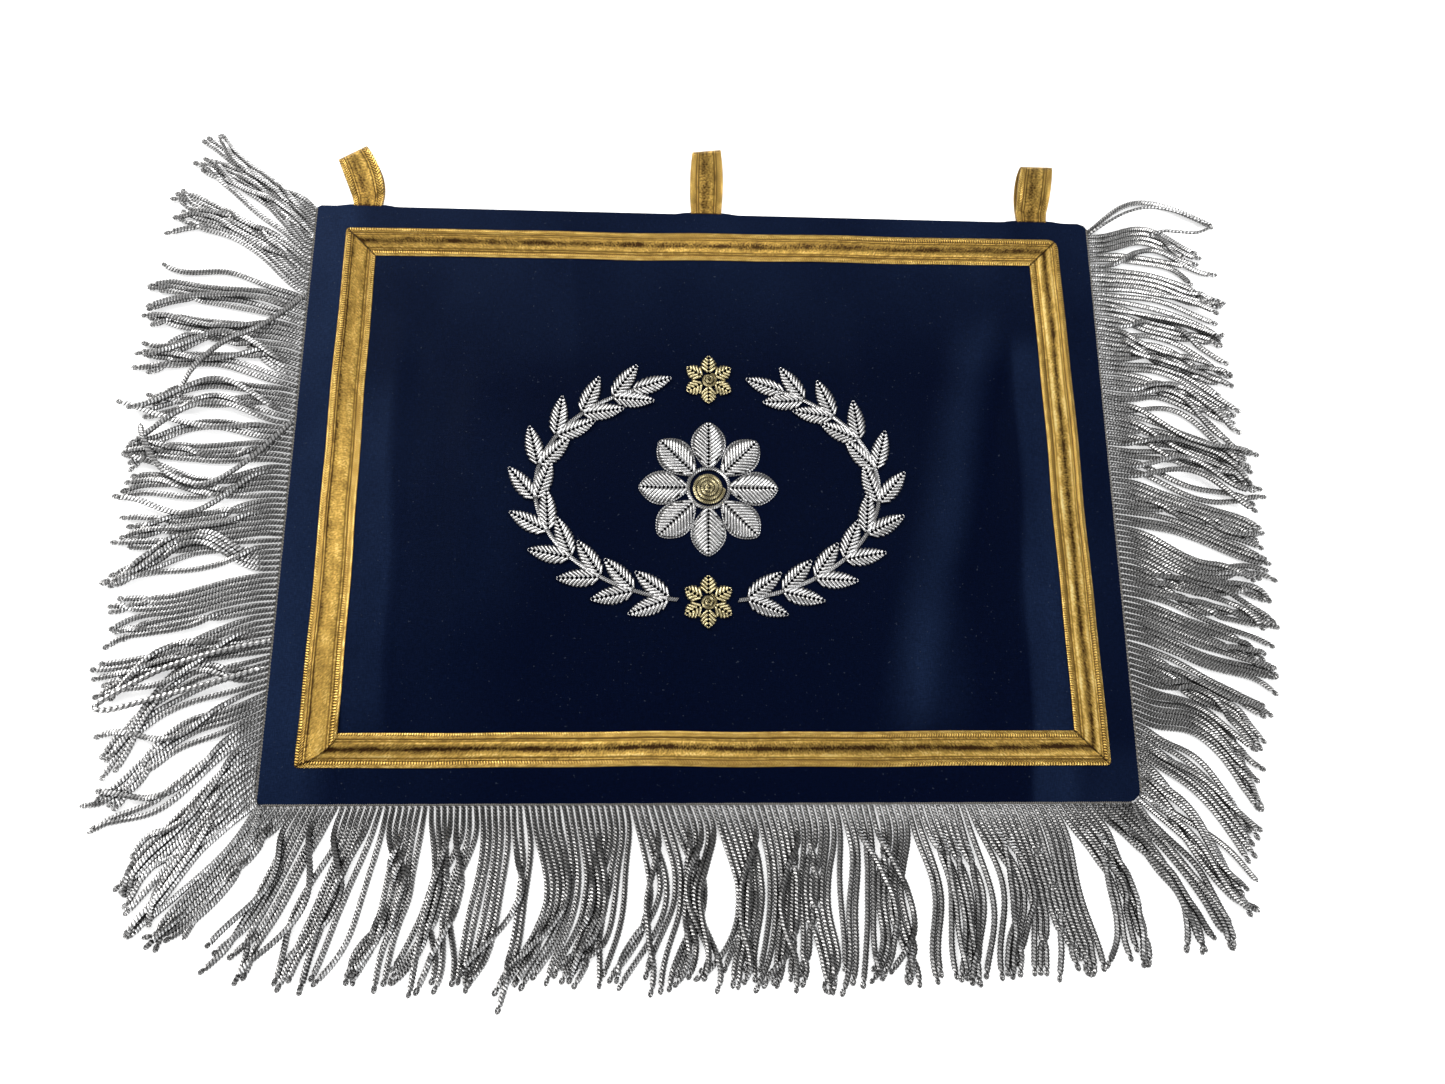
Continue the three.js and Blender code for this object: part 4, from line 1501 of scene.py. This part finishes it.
        # Painted light along the fringe, times each cord's own tone.
        tones = np.linspace(*self.painted_light, len(fine))
        tones = tones * uneven_tones(draw, len(fine), 0.92, 0.1, 0.62)
        pitch = self.length / len(fine)
        made = []
        stretches = np.array_split(np.arange(len(fine)), len(self.pieces))
        for name, numbers in zip(self.pieces, stretches):
            skein = Skein(name, [cord, heading])
            along_tones = tones[numbers, None] * self._rootward(along_cord)
            skein.add(CORD_BAR, fine[numbers], width, height, along_tones)
            paired = [n for n in numbers if shared[n] and n + 1 < len(fine)]
            single = [n for n in numbers if not shared[n] and not (n and shared[n - 1])]
            loops = self._end_loops(fine[single], draw)
            radius = CORD.end_loop_radius
            skein.add(END_LOOP_BAR, loops, radius, radius, tones[single])
            bends = self._shared_ends(fine[paired], fine[[n + 1 for n in paired]])
            radius = CORD.shared_end_radius
            skein.add(END_LOOP_BAR, bends, radius, radius, tones[paired])
            if name == self.pieces[0]:
                self._lay_strays(skein)
            thread = self._heading(numbers[0] * pitch, (numbers[-1] + 1) * pitch)
            radius = CORD.heading_radius
            skein.add(HEADING_BAR, thread, radius, radius, 1.0, finish=1)
            made.append(register(skein.build(), [self.name]))
        return made


STRAY_RADIUS = 1.75
CORNER_LEVEL = 1.9

RIGHT_STRAYS = (
    Stray(((241, 171), (252, 178), (266, 186), (282, 190), (299, 187), (311, 182), (320, 178),
           (311, 173), (299, 173), (287, 173), (274, 168)), radius=1.1, height=4.0),
)
LEFT_STRAYS = (
    Stray(((-241, -90), (-264, -96), (-292, -105), (-314, -117), (-327, -126), (-320, -128),
           (-298, -122), (-270, -114), (-241, -104)), STRAY_RADIUS, height=6.5),
    Stray(((-241, 38), (-262, 12), (-285, -2), (-308, 6), (-321, 24), (-327, 36)),
          STRAY_RADIUS, height=7.0),
    Stray(((-241, 118), (-262, 96), (-284, 84), (-300, 66), (-309, 48)),
          STRAY_RADIUS, height=7.0),
)

# Cords that fan out round the two lower corners; a tone above 1 lifts them out of the bottom
# fringe's painted shade.
CORNER_CORDS = (
    Stray(((-238.5, -176.5), (-261, -194), (-285, -206), (-304, -218)),
          STRAY_RADIUS, CORNER_LEVEL, tone=1.7),
    Stray(((-237.5, -177.5), (-252, -200), (-274, -222), (-292, -238)),
          STRAY_RADIUS, CORNER_LEVEL, tone=1.7),
    Stray(((-236.5, -178.5), (-245, -206), (-260, -227), (-270, -245)),
          STRAY_RADIUS, CORNER_LEVEL, tone=1.7),
    Stray(((239, -173), (262, -186), (284, -201), (301, -221)),
          STRAY_RADIUS, CORNER_LEVEL, tone=1.8),
    Stray(((238, -175.5), (259, -194), (279, -213), (294, -233)),
          STRAY_RADIUS, CORNER_LEVEL, tone=1.6),
    Stray(((236.5, -177), (253, -202), (271, -224), (283, -242)),
          STRAY_RADIUS, CORNER_LEVEL, tone=1.3),
    Stray(((234.5, -178.3), (246, -208), (262, -231), (271, -249)),
          STRAY_RADIUS, CORNER_LEVEL, tone=1.1),
)

# Each fringe's cords are painted lighter or darker as a whole: painted shade on the bottom fringe,
# painted light on the two sides.
FRINGES = (
    Fringe(
        "fringe_left", LEFT_LOCKS, start=(-HALF_WIDTH - 0.2, 176.0), along=(0, -1), away=(-1, 0),
        length=352.0, seed=11, pieces=("fringe_left_cords",), painted_light=(1.45, 0.85),
        looseness=7.5, closeness=1.0, strays=LEFT_STRAYS,
    ),
    Fringe(
        "fringe_bottom", BOTTOM_LOCKS, start=(-236.0, -HALF_HEIGHT - 0.2), along=(1, 0),
        away=(0, -1), length=470.0, seed=23,
        pieces=("fringe_bottom_cords_left", "fringe_bottom_cords_right"),
        painted_light=(0.48, 0.43), strays=CORNER_CORDS,
    ),
    Fringe(
        "fringe_right", RIGHT_LOCKS, start=(HALF_WIDTH + 0.2, 174.0), along=(0, -1), away=(1, 0),
        length=346.0, seed=37, pieces=("fringe_right_cords",), painted_light=(1.08, 0.72),
        wandering=0.26, strays=RIGHT_STRAYS,
    ),
)


# The embroidery


@dataclass(frozen=True)
class PadShape:
    """The outline of a leaf or petal.

    `lean` moves its widest place and `fullness` rounds its ends.
    """

    length: float
    width: float
    lean: float
    fullness: float

    def half_width(self, share: np.ndarray) -> np.ndarray:
        """Return half the pad's width at each share of its length."""
        inside = np.clip(share, 0, 1)
        return self.width / 2 * np.sin(np.pi * inside**self.lean) ** self.fullness


@dataclass
class Needlework:
    """Lays bullion wires side by side over padded shapes."""

    sewn_level: float = CLOTH_THICKNESS + 0.1
    edge: float = 0.55
    crown: float = 1.75
    wire_radius: float = 0.8
    spacing: float = 1.7
    rib_gap: float = 0.35
    first_wire: float = -0.35
    rim_gap: float = 0.5
    ring_level: float = 0.8
    coil_rise: float = 0.5
    bar: Bar = Bar(sides=6, stations=5)

    @staticmethod
    def cord(stations: int, valley: float = 0.75, slant: float = 0.6) -> Bar:
        """Return a twisted cord of a number of stations."""
        return Bar(sides=6, stations=stations, valley=valley, slant=slant)

    def chevrons(self, shape: PadShape, slant: float) -> np.ndarray:
        """Fill a leaf or petal from its midrib outwards.

        Args:
            shape: The outline, lying along +X from the origin.
            slant: The wires' angle to the midrib, in degrees.

        Returns:
            The wires' routes, as (wires, stations, 3).
        """
        turned = math.radians(slant)
        step = self.spacing / math.sin(turned)
        starts = np.arange(self.first_wire * shape.width, shape.length, step)
        reach = np.linspace(self.rib_gap, shape.width, 160)
        routes = []
        for at in starts:
            x = at + reach / math.tan(turned)
            edge = shape.half_width(x / shape.length)
            inside = np.flatnonzero((reach <= edge) & (x >= 0) & (x <= shape.length))
            if len(inside) < self.bar.stations:
                continue
            pick = inside[np.linspace(0, len(inside) - 1, self.bar.stations).astype(int)]
            share = reach[pick] / (shape.width / 2)
            height = self.sewn_level + self.edge + (self.crown - self.edge) * (1 - share**2)
            for side in (-1, 1):
                routes.append(np.column_stack((x[pick], side * reach[pick], height)))
        return np.array(routes)

    def outline(self, shape: PadShape, stations: int) -> np.ndarray:
        """Return the route of a cord round a leaf's or petal's edge."""
        shares = (1 - np.cos(np.linspace(0, np.pi, 60))) / 2
        half = shape.half_width(shares) + self.rim_gap
        there = np.column_stack((shares * shape.length, half))
        back = np.column_stack((shares[::-1] * shape.length, -half[::-1]))
        rim = np.concatenate((there, back))
        height = np.full(len(rim), self.sewn_level + self.edge)
        return resampled(np.column_stack((rim, height)), stations)[None]

    def ring(self, radius: float, stations: int) -> np.ndarray:
        """Return the route of a cord laid in a circle."""
        turns = np.linspace(0, 2 * np.pi, stations)
        height = np.full(stations, self.sewn_level + self.ring_level)
        return np.column_stack((radius * np.cos(turns), radius * np.sin(turns), height))[None]

    def spiral(self, radius: float, pitch: float, stations: int) -> np.ndarray:
        """Return the route of a cord wound from a dome's middle to its edge."""
        share = np.sqrt(np.linspace(0.0004, 1, stations))
        turns = share * radius / pitch * 2 * np.pi
        rise = (self.crown - self.edge + self.coil_rise) * (1 - share**2)
        height = self.sewn_level + self.edge + rise
        out = share * radius
        return np.column_stack((out * np.cos(turns), out * np.sin(turns), height))[None]

    def fill(
        self, skein: Skein, wires: np.ndarray, draw: np.random.Generator,
        place: tuple[float, float, float],
    ) -> None:
        """Fill one leaf or petal with wire.

        Args:
            skein: The piece that the wires are added to.
            wires: The wires' routes, as `chevrons` gives them.
            draw: The source of each wire's brightness.
            place: The leaf's or petal's turn about +Z in radians, and its x and y.
        """
        tones = uneven_tones(draw, len(wires), 0.95, 0.07, 0.7)
        skein.add(self.bar, placed(wires, *place), self.wire_radius, self.wire_radius, tones)


NEEDLE = Needlework()
LEAF = PadShape(length=26, width=10, lean=0.85, fullness=0.85)
SMALL_PETAL = PadShape(length=12, width=9.0, lean=1.15, fullness=0.7)
ROSETTE_PETAL = PadShape(length=28.5, width=18.5, lean=1.2, fullness=0.72)
GARLAND_RADII = (100.0, 67.0)
GARLAND_ANGLES = (10.0, 25.0)
GARLAND_PAIRS = 10
LEAF_SPLAY = 29.0
LEAF_SLANT = 42.0


@dataclass
class Spray:
    """Half of the oval garland: a corded stem with its leaves in pairs and one more at its end."""

    name: str
    side: Side
    seed: int
    steps: int = 400
    stem_stations: int = 340
    stem_level: float = 0.75
    stem_size: tuple[float, float] = (1.35, 1.0)
    stem_tone: float = 0.95
    first_pair: float = 0.2
    end_leaf: float = 0.98

    def _oval(self) -> np.ndarray:
        """Return the stem's line from the lower flower towards the upper one."""
        start, stop = GARLAND_ANGLES
        turns = np.radians(np.linspace(start - 90, 90 - stop, 240))
        x = self.side.value * GARLAND_RADII[0] * np.cos(turns)
        y = GARLAND_RADII[1] * np.sin(turns)
        height = np.full_like(x, NEEDLE.sewn_level + self.stem_level)
        return resampled(np.column_stack((x, y, height)), self.steps + 1)

    def _leaves(self) -> list[tuple[float, float]]:
        """Return each leaf's share of the stem and its splay in degrees."""
        leaves = [(self.end_leaf, 0.0)]
        for pair in range(GARLAND_PAIRS):
            share = (pair + self.first_pair) / GARLAND_PAIRS
            leaves += [(share, LEAF_SPLAY), (share, -LEAF_SPLAY)]
        return leaves

    def build(self, material: bpy.types.Material) -> bpy.types.Object:
        """Return the spray."""
        draw = np.random.default_rng(self.seed)
        oval = self._oval()
        skein = Skein(f"{self.name}_wires", [material])
        stem = resampled(oval, self.stem_stations)[None]
        skein.add(NEEDLE.cord(self.stem_stations), stem, *self.stem_size, self.stem_tone)
        wires = NEEDLE.chevrons(LEAF, LEAF_SLANT)
        for share, splay in self._leaves():
            at = int(share * self.steps)
            base = oval[at]
            ahead = oval[min(at + 1, self.steps)] - oval[max(at - 1, 0)]
            way = math.atan2(ahead[1], ahead[0]) + math.radians(splay)
            NEEDLE.fill(skein, wires, draw, (way, base[0], base[1]))
        return register(skein.build(), [self.name])


@dataclass
class Blossom:
    """A flower of filled petals round a centre, such as the rosette or a small flower."""

    name: str
    petals: int
    reach: float
    shape: PadShape
    y: float
    seed: int
    slot: Slot
    slant: float = 46.0
    heart: float = 0.0
    collar: float = 0.0
    outlined: bool = False
    rim_stations: int = 91
    rim_size: tuple[float, float] = (0.62, 0.62)
    rim_tone: float = 0.85
    collar_stations: int = 109
    collar_size: tuple[float, float] = (1.3, 1.1)
    heart_stations: int = 110
    heart_pitch: float = 2.0
    heart_size: tuple[float, float] = (1.0, 0.9)

    def _petal(self, routes: np.ndarray) -> np.ndarray:
        """Return a petal's routes moved out from the middle."""
        routes[..., 0] += self.reach - self.shape.length
        return routes

    def build(self, material: bpy.types.Material) -> bpy.types.Object:
        """Return the flower."""
        draw = np.random.default_rng(self.seed)
        skein = Skein(f"{self.name}_wires", [material])
        wires = self._petal(NEEDLE.chevrons(self.shape, self.slant))
        rim_bar = NEEDLE.cord(self.rim_stations, slant=0.5)
        rim = self._petal(NEEDLE.outline(self.shape, self.rim_stations))
        for petal in range(self.petals):
            way = math.pi / 2 + 2 * math.pi * petal / self.petals
            NEEDLE.fill(skein, wires, draw, (way, 0, self.y))
            if self.outlined:
                skein.add(rim_bar, placed(rim, way, 0, self.y), *self.rim_size, self.rim_tone)
        if self.collar:
            ring = placed(NEEDLE.ring(self.collar, self.collar_stations), 0, 0, self.y)
            skein.add(NEEDLE.cord(self.collar_stations), ring, *self.collar_size)
        if self.heart:
            coil = NEEDLE.spiral(self.heart, self.heart_pitch, self.heart_stations)
            coil_bar = NEEDLE.cord(self.heart_stations, valley=0.8, slant=0.5)
            skein.add(coil_bar, placed(coil, 0, 0, self.y), *self.heart_size)
        return register(skein.build(), [self.name])


@dataclass
class RosetteCentre:
    """The rosette's crowned middle of wound pale gold cord."""

    radius: float = 9.2
    pitch: float = 2.3
    stations: int = 220
    size: tuple[float, float] = (1.15, 1.0)

    def build(self, material: bpy.types.Material) -> bpy.types.Object:
        """Return the centre."""
        skein = Skein("rosette_centre_wires", [material])
        coil = NEEDLE.spiral(self.radius, self.pitch, self.stations)
        skein.add(NEEDLE.cord(self.stations, valley=0.8, slant=0.5), coil, *self.size)
        return register(skein.build(), ["rosette_centre"])


BLOSSOMS = (
    Blossom("rosette", petals=8, reach=40.0, shape=ROSETTE_PETAL, y=0.0, seed=5,
            slot=Slot.SILVER_BULLION, collar=12.0, outlined=True),
    Blossom("flower_top", petals=6, reach=15.0, shape=SMALL_PETAL, y=67.0, seed=6,
            slot=Slot.PALE_GOLD_BULLION, heart=4.4),
    Blossom("flower_bottom", petals=6, reach=15.0, shape=SMALL_PETAL, y=-67.0, seed=7,
            slot=Slot.PALE_GOLD_BULLION, heart=4.4),
)
SPRAYS = (Spray("garland_left", Side.LEFT, seed=3), Spray("garland_right", Side.RIGHT, seed=4))


# The studio


@dataclass(frozen=True)
class SoftBox:
    """A square area light."""

    name: str
    place: tuple[float, float, float]
    size: float
    power: float
    colour: Colour = (1.0, 1.0, 1.0)

    def build(self) -> None:
        """Hang the light, turned to the flag."""
        lamp = bpy.data.lights.new(self.name, "AREA")
        lamp.shape = "SQUARE"
        lamp.size = self.size
        lamp.energy = self.power
        lamp.color = self.colour
        light = linked(self.name, lamp)
        light.location = self.place
        light.rotation_euler = Vector(self.place).to_track_quat("Z", "Y").to_euler()


@dataclass
class Studio:
    """The pale floor, the soft light and the camera at the photograph's angle."""

    eye: tuple[float, float, float] = (-19.3, -166.1, 559.5)
    right: tuple[float, float, float] = (0.9988, -0.0023, 0.0486)
    up: tuple[float, float, float] = (-0.0092, 0.9723, 0.2337)
    lens: float = 24.87
    sensor: float = 36.0
    near_limit: float = 10 * MM
    floor_size: float = 8.0
    floor_drop: float = 0.2 * MM
    ambient: float = 0.24
    lights: tuple[SoftBox, ...] = (
        SoftBox("key softbox", (-0.95, 0.95, 1.25), 1.0, 26.0, (1.0, 0.985, 0.965)),
        SoftBox("overhead softbox", (0.35, 0.75, 1.5), 0.9, 12.0),
        SoftBox("side softbox", (1.5, -0.5, 0.9), 0.8, 12.0, (0.96, 0.98, 1.0)),
        SoftBox("front softbox", (-0.5, -1.4, 0.8), 0.8, 9.0),
    )

    def _set_camera(self) -> None:
        """Place the camera where the photograph was taken from."""
        camera = bpy.data.cameras.new("camera")
        camera.lens = self.lens
        camera.sensor_width = self.sensor
        camera.clip_start = self.near_limit
        stand = linked("camera", camera)
        right, up = Vector(self.right), Vector(self.up)
        turned = Matrix((right, up, right.cross(up))).transposed().to_4x4()
        stand.matrix_world = Matrix.Translation(Vector(self.eye) * MM) @ turned
        bpy.context.scene.camera = stand

    def _lay_floor(self) -> None:
        """Lay the floor just under the flag."""
        bm = bmesh.new()
        bmesh.ops.create_grid(bm, x_segments=1, y_segments=1, size=self.floor_size / 2)
        bmesh.ops.translate(bm, verts=bm.verts[:], vec=(0, 0, -self.floor_drop))
        mesh = baked("floor", bm)
        mesh.materials.append(FLOOR.build())
        linked("floor", mesh)

    def _light_surroundings(self) -> None:
        """Give the surroundings an even, weak white light."""
        world = bpy.data.worlds.new("surroundings")
        world.use_nodes = True
        background = world.node_tree.nodes["Background"]
        background.inputs["Color"].default_value = (1.0, 1.0, 1.0, 1.0)
        background.inputs["Strength"].default_value = self.ambient
        bpy.context.scene.world = world
        bpy.context.scene.view_settings.view_transform = "Standard"

    def build(self) -> None:
        """Set up the camera, floor, lights and surroundings."""
        self._set_camera()
        self._lay_floor()
        for light in self.lights:
            light.build()
        self._light_surroundings()


# Each strip's bands are painted highlights where their gain is above 0 and darker bands where it is
# below.
STRIPS = (
    BraidStrip("braid_top", TOP_RIGHT, TOP_LEFT, phase=0.4, bands=(
        Band(0.46, 0.1, -0.5), Band(0.64, 0.06, 0.2), Band(0.3, 0.05, 0.1))),
    BraidStrip("braid_left", TOP_LEFT, BOTTOM_LEFT, phase=1.9, lap=6.0, bands=(
        Band(0.29, 0.045, -0.4), Band(0.52, 0.13, 0.5), Band(0.8, 0.04, 0.1))),
    BraidStrip("braid_bottom", BOTTOM_LEFT, BOTTOM_RIGHT, phase=3.1, bands=(
        Band(0.53, 0.07, -0.75), Band(0.34, 0.06, 0.6), Band(0.7, 0.05, 0.35))),
    BraidStrip("braid_right", BOTTOM_RIGHT, TOP_RIGHT, phase=4.6, bands=(
        Band(0.48, 0.055, -0.55), Band(0.31, 0.07, 0.85), Band(0.68, 0.07, 1.0))),
)


def main() -> None:
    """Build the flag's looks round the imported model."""
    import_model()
    Studio().build()
    braid = BRAID.build()
    silver = SILVER_WIRE.build()
    pale_gold = GOLD_WIRE.build()
    cord = FRINGE_CORD.build()
    heading = FRINGE_HEADING.build()

    panel = FieldPanel().build(CLOTH.build())
    strips = [strip.build(braid) for strip in STRIPS]
    loops = [HangingLoop(plan).build(braid) for plan in LOOPS]
    fringes = [piece for fringe in FRINGES for piece in fringe.build(cord, heading)]
    sprays = [spray.build(silver) for spray in SPRAYS]
    wires = {Slot.SILVER_BULLION: silver, Slot.PALE_GOLD_BULLION: pale_gold}
    flowers = [flower.build(wires[flower.slot]) for flower in BLOSSOMS]
    centre = RosetteCentre().build(pale_gold)


if __name__ == "__main__":
    main()
